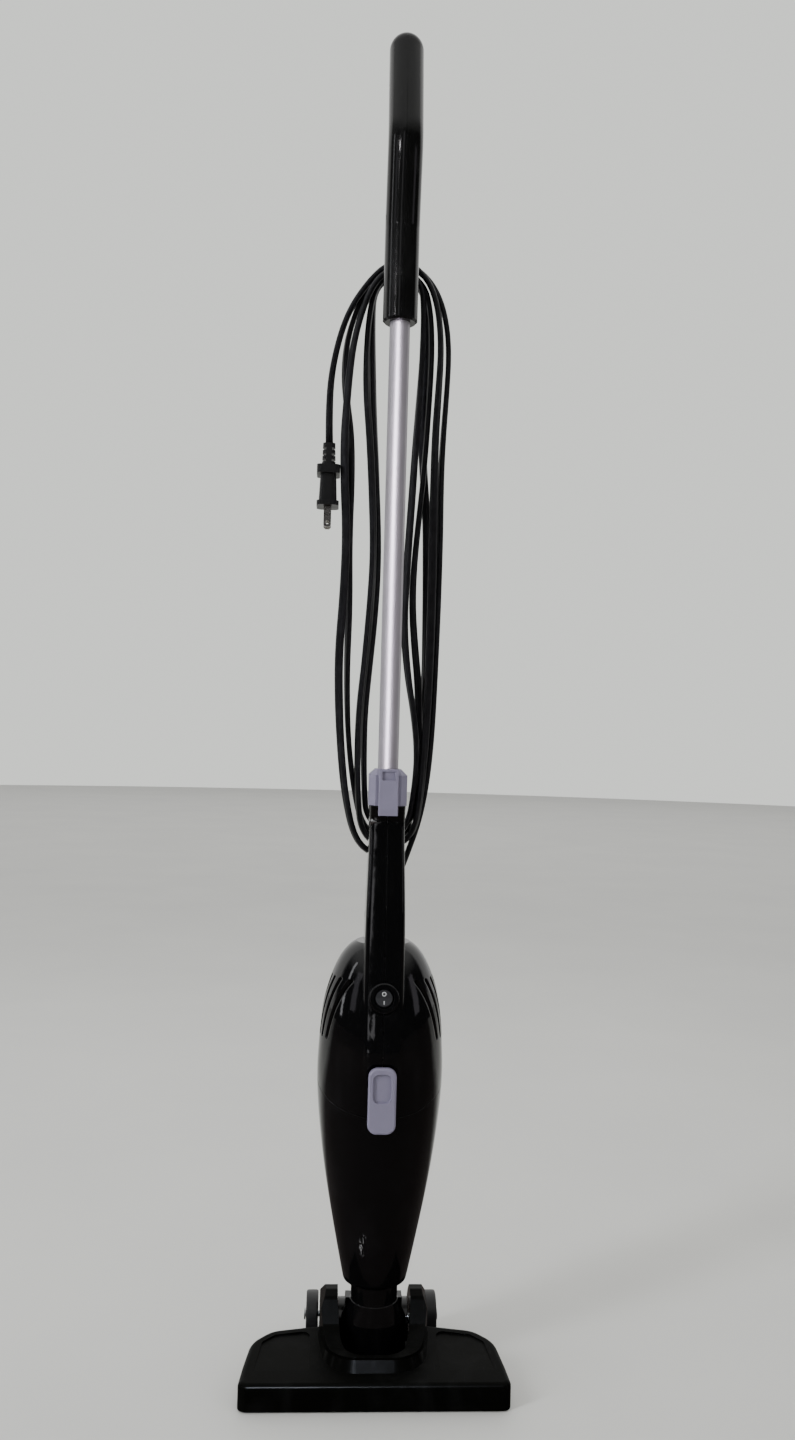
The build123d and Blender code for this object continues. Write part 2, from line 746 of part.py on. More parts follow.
with BuildPart() as filter_element:
    for z, ro in ((156.0, 21.0), (250.0, 32.0)):
        with BuildSketch(Plane.XY.offset(z)):
            with BuildLine():
                Polyline(*star(ro, ro - 5.0, 20), close=True)
            make_face()
    loft(ruled=True)
    for z, ro in ((155.0, 18.4), (251.0, 29.4)):
        with BuildSketch(Plane.XY.offset(z)):
            with BuildLine():
                Polyline(*star(ro, ro - 5.0, 20), close=True)
            make_face()
    loft(ruled=True, mode=Mode.SUBTRACT)
    split(bisect_by=PARTING.offset(-3.0), keep=Keep.BOTTOM)
filter_element.part.label = "filter_element"
export_step(filter_element.part, "parts/filter_element.step")

with BuildPart() as filter_end_cap:
    with BuildSketch(Plane.XY.offset(152.5)):
        with Locations((0, FILTER_Y)):
            Circle(23.0)
    extrude(amount=3.5)
    fillet(filter_end_cap.edges().group_by(Axis.Z)[0], 1.5)
filter_end_cap.part.label = "filter_end_cap"
export_step(filter_end_cap.part, "parts/filter_end_cap.step")

with BuildPart() as filter_flange:
    with BuildSketch(PARTING.offset(-3.0)):
        with Locations((0, 2.5)):
            Ellipse(35.0, 36.5)
        with Locations((0, 5.0)):
            Circle(21.0, mode=Mode.SUBTRACT)
    extrude(amount=3.3)
filter_flange.part.label = "filter_flange"
export_step(filter_flange.part, "parts/filter_flange.step")

# ---------------------------------------------------------------- cup latch
with BuildPart() as cup_latch:
    with BuildSketch(Plane.XZ.offset(45.0)) as sk:
        with Locations((0, 233.5)):
            RectangleRounded(22.4, 52.0, 7.5)
    extrude(amount=4.5)
    fillet(cup_latch.faces().sort_by(Axis.Y)[0].edges(), 1.8)
    # thumb dish
    with BuildSketch(Plane.XZ.offset(49.5)):
        with Locations((0, 243.5)):
            RectangleRounded(15.0, 23.0, 5.0)
    extrude(amount=-2.0, taper=18, mode=Mode.SUBTRACT)
    # rib on the pivot pin, and catch
    with BuildSketch(Plane.YZ):
        with BuildLine():
            Polyline((-45.2, 228.0), (-45.2, 238.0), (-41.0, 236.0), (-39.6, 233.0), (-41.0, 230.0), close=True)
        make_face()
    extrude(amount=4.6, both=True)
    with BuildSketch(Plane.YZ):
        with BuildLine():
            Polyline((-45.2, 214.5), (-45.2, 222.0), (-42.6, 220.0), (-42.6, 215.5), close=True)
        make_face()
    extrude(amount=5.5, both=True)
    with BuildSketch(Plane.YZ):
        with Locations((LATCH_PIN_Y, LATCH_PIN_Z)):
            Circle(1.5 + RUN)
    extrude(amount=12.0, both=True, mode=Mode.SUBTRACT)
cup_latch.part.label = "cup_latch"
export_step(cup_latch.part, "parts/cup_latch.step")

with BuildPart() as cup_latch_pin:
    with BuildSketch(Plane.YZ.offset(-9.8)):
        with Locations((LATCH_PIN_Y, LATCH_PIN_Z)):
            Circle(1.5)
    extrude(amount=19.6)
cup_latch_pin.part.label = "cup_latch_pin"
export_step(cup_latch_pin.part, "parts/cup_latch_pin.step")


# bent leaf spring between the pocket's floor and the latch
with BuildPart() as cup_latch_spring:
    with BuildSketch(Plane.YZ):
        with BuildLine():
            Polyline(
                (-40.45, 242.5), (-40.45, 248.7), (-44.45, 256.2), (-44.95, 256.0), (-40.95, 248.4), (-40.95, 242.5),
                close=True,
            )
        make_face()
    extrude(amount=3.0, both=True)
cup_latch_spring.part.label = "cup_latch_spring"
export_step(cup_latch_spring.part, "parts/cup_latch_spring.step")

# ---------------------------------------------------------------- rocker switch
with BuildPart() as switch_body:
    with BuildSketch(SWITCH.offset(-1.0)):
        Circle(12.3)
    extrude(amount=2.6)
    fillet(switch_body.edges().filter_by(GeomType.CIRCLE).sort_by(Axis.Y)[0], 1.6)
    with BuildSketch(SWITCH.offset(-1.0)):
        Circle(10.1)
    extrude(amount=-13.0)
    with BuildSketch(SWITCH.offset(-2.5)):
        Circle(7.9)
    extrude(amount=12.0, mode=Mode.SUBTRACT)
    with Locations(SWITCH.offset(-2.5)):
        Sphere(7.9, mode=Mode.SUBTRACT)
switch_body.part.label = "switch_body"
export_step(switch_body.part, "parts/switch_body.step")

with BuildPart() as switch_terminals:
    for x in (-4.0, 4.0):
        with BuildSketch(SWITCH.offset(-14.0)):
            with Locations((x, 0)):
                Rectangle(0.8, 6.3)
        extrude(amount=-5.0)
switch_terminals.part.label = "switch_terminals"
export_step(switch_terminals.part, "parts/switch_terminals.step")

ROCK = math.radians(7.0)
SW_P = SWITCH.offset(-2.5).origin


def rocked(v, w):
    """Rocker side profile (v up the face, w outward), turned so that its upper half is pressed."""
    return (v * math.cos(ROCK) + w * math.sin(ROCK), -v * math.sin(ROCK) + w * math.cos(ROCK))


with BuildPart() as switch_rocker:
    with BuildSketch(Plane(origin=SW_P, x_dir=SWITCH.y_dir, z_dir=(1, 0, 0))) as sk:
        with BuildLine():
            lift = 9.0 * math.tan(ROCK)
            pts = [(-9.0, -5.0), (9.0, -5.0), (9.0, 3.4 + lift), (0.0, 3.4), (-9.0, 3.4 + lift)]
            Polyline(*[rocked(v, w) for v, w in pts], close=True)
        make_face()
    extrude(amount=9.0, both=True)
    with Locations(Location(SW_P)):
        Sphere(7.6, mode=Mode.INTERSECT)
switch_rocker.part.label = "switch_rocker"
export_step(switch_rocker.part, "parts/switch_rocker.step")

# ---------------------------------------------------------------- motor
F = FAN_BOTTOM


def ring_form(z0, h, r_out, r_in):
    with BuildPart() as form:
        with BuildSketch(Plane.XY.offset(z0)):
            with Locations((0, MOTOR_Y)):
                Circle(r_out)
                if r_in:
                    Circle(r_in, mode=Mode.SUBTRACT)
        extrude(amount=h)
    return form.part


with BuildPart() as fan_shroud:
    add(ring_form(F, 20.0, 34.0, 15.0))
    add(ring_form(F + 1.6, 30.0, 32.4, 0), mode=Mode.SUBTRACT)
fan_shroud.part.label = "fan_shroud"
export_step(fan_shroud.part, "parts/fan_shroud.step")

with BuildPart() as motor_mount:
    add(ring_form(F + 4.0, 12.0, 36.6, 34.0))
    with BuildSketch(Plane.XY.offset(270.0)):
        with Locations((0, MOTOR_Y)):
            Circle(37.6)
            Circle(34.0, mode=Mode.SUBTRACT)
    extrude(amount=-2.0)
motor_mount.part.label = "motor_mount"
export_step(motor_mount.part, "parts/motor_mount.step")

with BuildPart() as motor_case:
    add(ring_form(F + 20.0, 2.0, 33.0, 8.0))
    add(ring_form(F + 22.0, 42.0, 24.0, 22.4))
    add(ring_form(F + 64.0, 1.8, 24.0, 6.5))
    add(ring_form(F + 65.8, 5.2, 8.5, 6.5))
    add(ring_form(F + 71.0, 1.2, 8.5, 0))
    # cooling windows above the field
    for a in range(0, 360, 60):
        with BuildSketch(Plane(origin=(0, MOTOR_Y, F + 58.0), x_dir=(-math.sin(math.radians(a + 30)), math.cos(math.radians(a + 30)), 0), z_dir=(math.cos(math.radians(a + 30)), math.sin(math.radians(a + 30)), 0))):
            RectangleRounded(11.0, 8.0, 2.0)
        extrude(amount=40, mode=Mode.SUBTRACT)
    # outlets of the fan in the flange
    for a in range(0, 360, 45):
        with BuildSketch(Plane.XY.offset(F + 19.0)):
            with Locations((28.4 * math.cos(math.radians(a)), MOTOR_Y + 28.4 * math.sin(math.radians(a)))):
                Circle(2.8)
        extrude(amount=5.0, mode=Mode.SUBTRACT)
motor_case.part.label = "motor_case"
export_step(motor_case.part, "parts/motor_case.step")

with BuildPart() as stator_core:
    add(ring_form(F + 28.0, 24.0, 22.4, 19.0))
    with BuildSketch(Plane.XY.offset(F + 28.0)):
        with Locations((0, MOTOR_Y)):
            Circle(19.5)
            Circle(15.6, mode=Mode.SUBTRACT)
            Rectangle(24.0, 60.0, mode=Mode.INTERSECT)
    extrude(amount=24.0)
stator_core.part.label = "stator_core"
export_step(stator_core.part, "parts/stator_core.step")

with BuildPart() as field_coils:
    for side in (-1, 1):
        with BuildSketch(Plane.XY.offset(F + 23.5)):
            with Locations((0, MOTOR_Y)):
                Circle(18.9)
                Circle(15.8, mode=Mode.SUBTRACT)
                with Locations((side * 22.2, 0)):
                    Rectangle(20.0, 14.0, mode=Mode.INTERSECT)
        extrude(amount=32.0)
field_coils.part.label = "field_coils"
export_step(field_coils.part, "parts/field_coils.step")

with BuildPart() as lower_bearing:
    add(ring_form(F + 20.0, 5.0, 8.0, 3.0 + RUN))
lower_bearing.part.label = "lower_bearing"
export_step(lower_bearing.part, "parts/lower_bearing.step")

with BuildPart() as upper_bearing:
    add(ring_form(F + 64.5, 5.0, 6.5, 3.0 + RUN))
upper_bearing.part.label = "upper_bearing"
export_step(upper_bearing.part, "parts/upper_bearing.step")

with BuildPart() as brush_holders:
    for side in (-1, 1):
        with BuildSketch(Plane.YZ.offset(side * 11.0)):
            with Locations((MOTOR_Y, F + 60.0)):
                Rectangle(8.0, 8.0)
                Rectangle(5.0, 5.0, mode=Mode.SUBTRACT)
        extrude(amount=side * 10.8)
brush_holders.part.label = "brush_holders"
export_step(brush_holders.part, "parts/brush_holders.step")

with BuildPart() as carbon_brushes:
    for side in (-1, 1):
        with BuildSketch(Plane.YZ.offset(side * 9.35)):
            with Locations((MOTOR_Y, F + 60.0)):
                Rectangle(5.0, 5.0)
        extrude(amount=side * 11.0)
carbon_brushes.part.label = "carbon_brushes"
export_step(carbon_brushes.part, "parts/carbon_brushes.step")

with BuildPart() as motor_shaft:
    add(ring_form(F + 4.0, 66.0, 3.0, 0))
motor_shaft.part.label = "motor_shaft"
export_step(motor_shaft.part, "parts/motor_shaft.step")

with BuildPart() as armature_core:
    add(ring_form(F + 28.0, 24.0, 15.0, 3.0))
    for i in range(12):
        a = math.radians(30 * i)
        with BuildSketch(Plane.XY.offset(F + 27.0)):
            with Locations((14.0 * math.cos(a), MOTOR_Y + 14.0 * math.sin(a))):
                Rectangle(4.0, 1.8, rotation=30 * i)
        extrude(amount=26.0, mode=Mode.SUBTRACT)
armature_core.part.label = "armature_core"
export_step(armature_core.part, "parts/armature_core.step")

with BuildPart() as commutator:
    add(ring_form(F + 55.5, 8.0, 9.0, 3.0))
commutator.part.label = "commutator"
export_step(commutator.part, "parts/commutator.step")

with BuildPart() as impeller:
    add(ring_form(F + 15.0, 1.6, 31.0, 3.0))
    add(ring_form(F + 4.5, 10.6, 7.0, 3.0))
    for i in range(9):
        a = 40 * i
        with BuildSketch(Plane.XY.offset(F + 4.5)):
            with Locations((18.5 * math.cos(math.radians(a)), MOTOR_Y + 18.5 * math.sin(math.radians(a)))):
                Rectangle(24.0, 1.4, rotation=a - 22)
        extrude(amount=10.6)
impeller.part.label = "impeller"
export_step(impeller.part, "parts/impeller.step")

# ================================================================ wand
with BuildPart() as connector_collar:
    with BuildSketch(Plane.XY.offset(NECK_TOP + 0.3)) as sk:
        Rectangle(31.2, 33.0)
        chamfer(sk.vertices(), 5.0)
    extrude(amount=COLLAR_TOP - NECK_TOP - 0.3)
    chamfer(connector_collar.faces().sort_by(Axis.Z)[-1].edges(), 5.0)
    with BuildSketch(Plane.XY.offset(422.0)):
        Circle(SOCKET_R)
    extrude(amount=43.0)
    chamfer(connector_collar.faces().sort_by(Axis.Z)[0].edges(), 1.0)
    with BuildSketch(Plane.XY.offset(430.0)):
        Circle(TUBE_R)
    extrude(amount=80.0, mode=Mode.SUBTRACT)
    # pocket behind the release tongue, pin and spring seat
    with BuildSketch(Plane.XZ.offset(11.4)):
        with Locations((0, 476.0)):
            Rectangle(11.0, 14.0)
    extrude(amount=10.0, mode=Mode.SUBTRACT)
    with BuildSketch(Plane.YZ):
        with Locations((TONGUE_PIN_Y, TONGUE_PIN_Z)):
            Circle(1.25)
    extrude(amount=8.5, both=True, mode=Mode.SUBTRACT)
    with BuildSketch(Plane.XZ.offset(11.4)):
        with Locations((0, 485.6)):
            Circle(2.3)
    extrude(amount=10.0, mode=Mode.SUBTRACT)
connector_collar.part.label = "connector_collar"
export_step(connector_collar.part, "parts/connector_collar.step")

with BuildPart() as wand_latch:
    with BuildSketch(Plane.YZ) as sk:
        with BuildLine():
            Polyline((-18.5, 456.5), (-18.5, 471.5), (-13.0, 472.5), (-12.2, 476.0), (-13.0, 479.5), (-18.5, 480.5),
                     (-18.5, 494.5), (-20.4, 494.5), (-21.4, 480.0), (-22.0, 462.0), (-21.4, 456.5), close=True)
        make_face()
    extrude(amount=8.0, both=True)
    # the rib is narrower than the tongue
    for side in (-1, 1):
        with BuildSketch(Plane.YZ.offset(side * 5.2)):
            with Locations((-14.0, 476.0)):
                Rectangle(9.0, 14.0)
        extrude(amount=side * 6.0, mode=Mode.SUBTRACT)
    # finger dish at the top
    with BuildSketch(Plane.XZ.offset(22.5)):
        with Locations((0, 488.9)):
            Rectangle(11.0, 7.6)
    extrude(amount=-3.3, taper=8, mode=Mode.SUBTRACT)
    with BuildSketch(Plane.YZ):
        with Locations((TONGUE_PIN_Y, TONGUE_PIN_Z)):
            Circle(1.25 + RUN)
    extrude(amount=12.0, both=True, mode=Mode.SUBTRACT)
    fillet(
        wand_latch.edges().filter_by(lambda e: abs(abs(e.center().X) - 8.0) < 0.01 and e.center().Y < -20.3 and e.length > 5),
        0.9,
    )
wand_latch.part.label = "wand_latch"
export_step(wand_latch.part, "parts/wand_latch.step")

with BuildPart() as wand_latch_pin:
    with BuildSketch(Plane.YZ.offset(-8.2)):
        with Locations((TONGUE_PIN_Y, TONGUE_PIN_Z)):
            Circle(1.25)
    extrude(amount=16.4)
wand_latch_pin.part.label = "wand_latch_pin"
export_step(wand_latch_pin.part, "parts/wand_latch_pin.step")

with BuildPart() as wand_latch_spring:
    with BuildSketch(Plane.YZ):
        with BuildLine():
            Polyline((-11.45, 484.2), (-11.45, 484.8), (-18.45, 487.2), (-18.45, 486.6), close=True)
        make_face()
    extrude(amount=1.4, both=True)
wand_latch_spring.part.label = "wand_latch_spring"
export_step(wand_latch_spring.part, "parts/wand_latch_spring.step")

with BuildPart() as wand_tube:
    with BuildSketch(Plane.XY.offset(430.0)):
        Circle(TUBE_R)
        Circle(TUBE_IN, mode=Mode.SUBTRACT)
    extrude(amount=938.0 - 430.0)
wand_tube.part.label = "wand_tube"
export_step(wand_tube.part, "parts/wand_tube.step")


# ---------------------------------------------------------------- handle
HANDLE_SCREWS = [(-2.4, 953.0, 8.0), (-1.5, 1062.0, 8.0)]


def handle_form(radius, z0):
    pts = [(0, y, z) for y, z in HANDLE_PATH]
    pts[0] = (0, 0, z0)
    with BuildPart() as form:
        with BuildLine() as path:
            FilletPolyline(*pts, radius=[17.0, 45.0])
        with BuildSketch(Plane.XY.offset(z0)):
            Circle(radius)
        sweep(path=path.wires()[0])
        # rounded end on the swept tube's last face
        tip, along = path.wires()[0] @ 1, path.wires()[0] % 1
        with BuildSketch(Plane(origin=tip, x_dir=(1, 0, 0), z_dir=Vector(1, 0, 0).cross(along))):
            with BuildLine():
                Line((0, 0), (radius, 0))
                ThreePointArc((radius, 0), (radius * math.sqrt(0.5), radius * math.sqrt(0.5)), (0, radius))
                Line((0, radius), (0, 0))
            make_face()
        revolve(axis=Axis(tip, along))
    return form.part


with BuildPart() as handle_inside:
    with BuildSketch(Plane.XY.offset(934.0)):
        Circle(16.0)
    extrude(amount=4.0)
    with BuildSketch(Plane.YZ):
        with Locations(*[(y, z) for y, z, d in HANDLE_SCREWS]):
            Circle(3.4)
    extrude(amount=20, both=True)
    add(handle_form(HANDLE_R - 0.5, HANDLE_BOTTOM), mode=Mode.INTERSECT)

with BuildPart() as handle:
    add(handle_form(HANDLE_R, HANDLE_BOTTOM))
    with BuildSketch(Plane.XZ):
        with BuildLine():
            Polyline(
                (HANDLE_R - 1.6, HANDLE_BOTTOM),
                (HANDLE_R - 1.6, HANDLE_BOTTOM - 1),
                (HANDLE_R + 1.0, HANDLE_BOTTOM - 1),
                (HANDLE_R + 1.0, HANDLE_BOTTOM + 2.6),
                close=True,
            )
        make_face()
    revolve(axis=Axis.Z, mode=Mode.SUBTRACT)
    add(handle_form(HANDLE_R - WALL, HANDLE_BOTTOM + 3.2), mode=Mode.SUBTRACT)
    add(handle_inside.part)
    with BuildSketch(Plane.XY.offset(860.0)):
        Circle(TUBE_R)
    extrude(amount=78.0, mode=Mode.SUBTRACT)
    for y, z, d in HANDLE_SCREWS:
        with BuildSketch(Plane.YZ.offset(-d)):
            with Locations((y, z)):
                Circle(2.6)
        extrude(amount=-20, mode=Mode.SUBTRACT)
        with BuildSketch(Plane.YZ.offset(-d - 1)):
            with Locations((y, z)):
                Circle(1.35)
        extrude(amount=d + 9.0, mode=Mode.SUBTRACT)

with BuildPart() as handle_left:
    add(handle.part)
    split(bisect_by=Plane.YZ.offset(-0.08), keep=Keep.BOTTOM)
handle_left.part.label = "handle_left"
export_step(handle_left.part, "parts/handle_left.step")

with BuildPart() as handle_right:
    add(handle.part)
    split(bisect_by=Plane.YZ.offset(0.08), keep=Keep.TOP)
handle_right.part.label = "handle_right"
export_step(handle_right.part, "parts/handle_right.step")

with BuildPart() as handle_screws:
    for y, z, d in HANDLE_SCREWS:
        with BuildSketch(Plane.YZ.offset(-d)):
            with Locations((y, z)):
                Circle(2.4)
        extrude(amount=-1.7)
        with BuildSketch(Plane.YZ.offset(-d)):
            with Locations((y, z)):
                Circle(1.35)
        extrude(amount=d + 7.0)
handle_screws.part.label = "handle_screws"
export_step(handle_screws.part, "parts/handle_screws.step")

with BuildPart() as upper_cord_hook:
    with BuildSketch(Plane.YZ) as sk:
        with BuildLine():
            Polyline((10.0, 893.0), (17.5, 896.0), (17.5, 906.0), (46.5, 907.5), (48.5, 910.0), (48.5, 931.0),
                     (44.8, 931.0), (44.8, 914.5), (17.5, 914.5), (17.5, 922.0), (10.0, 926.0), close=True)
        make_face()
    extrude(amount=6.5, both=True)
    with BuildSketch(Plane.XY.offset(880.0)):
        Circle(HANDLE_R)
    extrude(amount=60.0, mode=Mode.SUBTRACT)
upper_cord_hook.part.label = "upper_cord_hook"
export_step(upper_cord_hook.part, "parts/upper_cord_hook.step")

with BuildPart() as lower_cord_hook:
    with BuildSketch(Plane.YZ) as sk:
        with BuildLine():
            Polyline((16.5, 467.0), (19.0, 467.0), (19.0, 471.0), (44.8, 471.0), (44.8, 456.5), (48.5, 456.5),
                     (48.5, 476.0), (46.0, 478.5), (19.0, 478.5), (19.0, 484.0), (16.5, 484.0), close=True)
        make_face()
    extrude(amount=6.0, both=True)
lower_cord_hook.part.label = "lower_cord_hook"
export_step(lower_cord_hook.part, "parts/lower_cord_hook.step")

# ================================================================ mains cord
GLAND_TIP = 37.0
with BuildPart() as cord_strain_relief:
    with BuildSketch(GLAND.offset(-5.0)):
        Circle(7.6)
    extrude(amount=3.9)
    with BuildSketch(GLAND.offset(-1.2)):
        Circle(5.5)
    extrude(amount=19.3)
    with BuildSketch(GLAND.offset(18.0)):
        Circle(6.6)
    with BuildSketch(GLAND.offset(GLAND_TIP)):
        Circle(4.3)
    loft()
    for k in range(4):
        with BuildSketch(GLAND.offset(20.5 + 4.0 * k)):
            Circle(9.0)
            Circle(4.0, mode=Mode.SUBTRACT)
        extrude(amount=1.6, mode=Mode.SUBTRACT)
cord_strain_relief.part.label = "cord_strain_relief"
export_step(cord_strain_relief.part, "parts/cord_strain_relief.step")


def run_radii(pts):
    """Bend radii for a cord route: 0.45 of the shorter neighbouring run over tan(half turn)."""
    radii = []
    for a, b, c in zip(pts, pts[1:], pts[2:]):
        u, v = Vector(*b) - Vector(*a), Vector(*c) - Vector(*b)
        turn = math.radians(u.get_angle(v))
        radii.append(0.45 * min(u.length, v.length) / math.tan(turn / 2))
    return radii


def cord_form(pts, name):
    radii = run_radii(pts)
    print(name, "radii", [round(r, 1) for r in radii])
    with BuildPart() as form:
        with BuildLine() as path:
            FilletPolyline(*pts, radius=radii)
        with BuildSketch(Plane(origin=pts[0], z_dir=tuple(Vector(*pts[1]) - Vector(*pts[0])))):
            Circle(CORD_R)
        sweep(path=path.wires()[0])
    length = path.wires()[0].length
    print(name, "length", round(length, 1), "volume ratio", round(form.part.volume / (math.pi * CORD_R ** 2 * length), 4))
    return form.part


TIP = GLAND.offset(GLAND_TIP).origin
TIP2 = GLAND.offset(GLAND_TIP + 17.0).origin
LEAD = [
    (TIP.X, TIP.Y, TIP.Z),
    (TIP2.X, TIP2.Y, TIP2.Z),
    (14.0, 29.0, 405.0),
    (21.5, 31.0, 425.0),
    (28.4, 32.0, 446.0),
]
with BuildPart() as cord_lead:
    add(cord_form(LEAD, "cord_lead"))
cord_lead.part.label = "cord_lead"
export_step(cord_lead.part, "parts/cord_lead.step")

TAIL = [
    (-30.0, 31.0, 905.0),
    (-45.5, 31.0, 880.0),
    (-54.5, 31.0, 844.0),
    (-57.9, 31.0, 808.0),
    (PLUG_X, PLUG_Y, PLUG_TOP),
]
with BuildPart() as cord_tail:
    add(cord_form(TAIL, "cord_tail"))
cord_tail.part.label = "cord_tail"
export_step(cord_tail.part, "parts/cord_tail.step")

HANK = [
    (0, 415), (12, 424), (20, 437), (25.0, 450.0), (34.0, 447.3), (36.5, 475), (39, 509), (42, 544), (44.5, 600),
    (46, 700), (46, 800), (44, 860), (36, 900), (20, 931), (0, 942), (-18, 934), (-34, 905), (-43, 870),
    (-46, 785), (-46.4, 716), (-46.6, 647), (-49, 596), (-49, 544), (-47, 509), (-42.5, 475), (-38, 456),
    (-30, 439), (-17, 424),
]
with BuildPart() as cord_hank:
    with BuildSketch(Plane.XZ.offset(-43.5)) as sk:
        with BuildLine():
            Polyline(*HANK, close=True)
        make_face()
        with Locations((0, 0.5 * (447.5 + 919.0))):
            SlotOverall(919.0 - 447.5, 18.0, rotation=90, mode=Mode.SUBTRACT)
    extrude(amount=23.0)
cord_hank.part.label = "cord_hank"
export_step(cord_hank.part, "parts/cord_hank.step")

with BuildPart() as plug_body:
    # ribbed neck
    with BuildSketch(Plane.XY.offset(PLUG_TOP)):
        with Locations((PLUG_X, PLUG_Y)):
            RectangleRounded(10.6, 10.0, 3.6)
    with BuildSketch(Plane.XY.offset(PLUG_TOP - 21.0)):
        with Locations((PLUG_X, PLUG_Y)):
            RectangleRounded(12.0, 12.4, 4.0)
    loft()
    for k in range(3):
        for side in (-1, 1):
            with BuildSketch(Plane.XY.offset(PLUG_TOP - 6.2 - 5.0 * k)):
                with Locations((PLUG_X + side * 4.6, PLUG_Y)):
                    Rectangle(4.4, 20.0)
            extrude(amount=2.2, mode=Mode.SUBTRACT)
    # finger flange, waisted body and front flange
    with BuildSketch(Plane.XY.offset(PLUG_TOP - 20.0)):
        with Locations((PLUG_X, PLUG_Y)):
            RectangleRounded(19.8, 26.0, 4.0)
    extrude(amount=-7.2)
    with BuildSketch(Plane.XY.offset(PLUG_TOP - 27.0)):
        with Locations((PLUG_X, PLUG_Y)):
            RectangleRounded(13.6, 21.0, 4.0)
    with BuildSketch(Plane.XY.offset(PLUG_TOP - 50.8)):
        with Locations((PLUG_X, PLUG_Y)):
            RectangleRounded(15.6, 23.0, 4.4)
    loft()
    with BuildSketch(Plane.XY.offset(PLUG_TOP - 50.6)):
        with Locations((PLUG_X, PLUG_Y)):
            RectangleRounded(19.0, 26.0, 5.0)
    extrude(amount=-3.9)
plug_body.part.label = "plug_body"
export_step(plug_body.part, "parts/plug_body.step")

with BuildPart() as plug_blades:
    for s in (-1, 1):
        with BuildSketch(Plane.XZ.offset(-(PLUG_Y + s * 6.35 + 0.75))) as sk:
            with Locations((PLUG_X, PLUG_TOP - 54.5 - 9.0)):
                Rectangle(6.35, 18.0)
            chamfer(sk.vertices().group_by(Axis.Y)[0], 1.4)
            with Locations((PLUG_X, PLUG_TOP - 54.5 - 14.2)):
                Circle(1.6, mode=Mode.SUBTRACT)
        extrude(amount=1.5)
plug_blades.part.label = "plug_blades"
export_step(plug_blades.part, "parts/plug_blades.step")
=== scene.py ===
import math

import bmesh
import bpy
from mathutils import Matrix, Vector


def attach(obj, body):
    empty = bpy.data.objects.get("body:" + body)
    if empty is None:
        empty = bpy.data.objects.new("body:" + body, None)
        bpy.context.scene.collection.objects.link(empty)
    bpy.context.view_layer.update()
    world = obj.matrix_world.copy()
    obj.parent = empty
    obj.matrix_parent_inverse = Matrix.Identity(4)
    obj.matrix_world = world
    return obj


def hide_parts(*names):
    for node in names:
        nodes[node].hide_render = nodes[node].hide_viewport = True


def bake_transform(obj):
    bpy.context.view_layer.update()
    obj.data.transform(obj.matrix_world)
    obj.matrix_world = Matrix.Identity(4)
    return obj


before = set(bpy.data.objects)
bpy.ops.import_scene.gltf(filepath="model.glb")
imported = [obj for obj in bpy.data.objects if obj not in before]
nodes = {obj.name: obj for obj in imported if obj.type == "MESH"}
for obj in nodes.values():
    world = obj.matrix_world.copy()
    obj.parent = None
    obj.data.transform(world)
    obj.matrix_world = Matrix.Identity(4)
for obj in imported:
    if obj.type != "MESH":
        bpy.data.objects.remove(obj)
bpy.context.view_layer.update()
scene = bpy.context.scene

# ------------------------------------------------------------------ camera
# eye height, a few degrees to the left of straight ahead, the object leaning a little in the picture
YAW, PITCH, ROLL = math.radians(3.21), math.radians(-0.54), math.radians(1.54)
look = Vector((math.sin(YAW) * math.cos(PITCH), math.cos(YAW) * math.cos(PITCH), -math.sin(PITCH)))
right0 = Vector((math.cos(YAW), -math.sin(YAW), 0.0))
up0 = right0.cross(look)
right = right0 * math.cos(ROLL) + up0 * math.sin(ROLL)
up = up0 * math.cos(ROLL) - right0 * math.sin(ROLL)
cam_data = bpy.data.cameras.new("camera")
cam_data.lens = 28.75
cam_data.sensor_width = 36.0
cam_data.clip_start = 0.02
cam = bpy.data.objects.new("camera", cam_data)
scene.collection.objects.link(cam)
cam.matrix_world = Matrix((
    (right.x, up.x, -look.x, -0.0468),
    (right.y, up.y, -look.y, -0.9557),
    (right.z, up.z, -look.z, 0.5259),
    (0.0, 0.0, 0.0, 1.0),
))
scene.camera = cam

# ------------------------------------------------------------------ cord
# millimetres: lead out of the gland, nine strands of the hank, the strand that carries the plug
LEAD = [(5.14, 27, 371.1), (7.5, 27, 388.0), (14, 29, 405), (21.5, 31, 425), (28.4, 32, 446)]
R1 = [(33.2, 31.5, 470), (36.4, 31, 500), (38.4, 31, 540), (39.4, 31, 596), (40.2, 31, 640), (40.6, 31, 690),
      (40.2, 31, 740), (41.4, 31, 780), (43.6, 31, 820), (44.6, 31, 851), (42.4, 31, 876), (36.6, 31.5, 898), (26.6, 32.5, 915.5)]
T1 = [(11.5, 34, 928), (-9.5, 35.6, 928.5)]
L1 = [(-25.5, 37, 914), (-37.0, 37.5, 887), (-44.0, 37, 860), (-45.2, 36, 833), (-42.2, 34, 806), (-38.0, 32.5, 778),
      (-36.8, 31.5, 740), (-37.6, 31.5, 690), (-35.6, 31.5, 630), (-36.2, 32, 580), (-34.6, 33.5, 535), (-31.4, 35.5, 502),
      (-27.0, 37.2, 474), (-20.5, 38, 447)]
B1 = [(-8.5, 35.2, 434.5), (8.0, 29.4, 434)]
R2 = [(19.6, 25.4, 446), (24.0, 24.5, 474), (25.6, 24.5, 508), (22.0, 24.5, 540), (15.6, 24.5, 574), (11.4, 24.5, 614), (12.0, 24.5, 650),
      (14.0, 24.5, 694), (16.2, 24.5, 742), (18.0, 24.5, 786), (20.4, 24.5, 830), (21.4, 24.5, 862), (21.4, 24.5, 888), (19.4, 24.5, 908)]
T2 = [(7.2, 24.5, 920.5), (-10.5, 24.5, 920.5)]
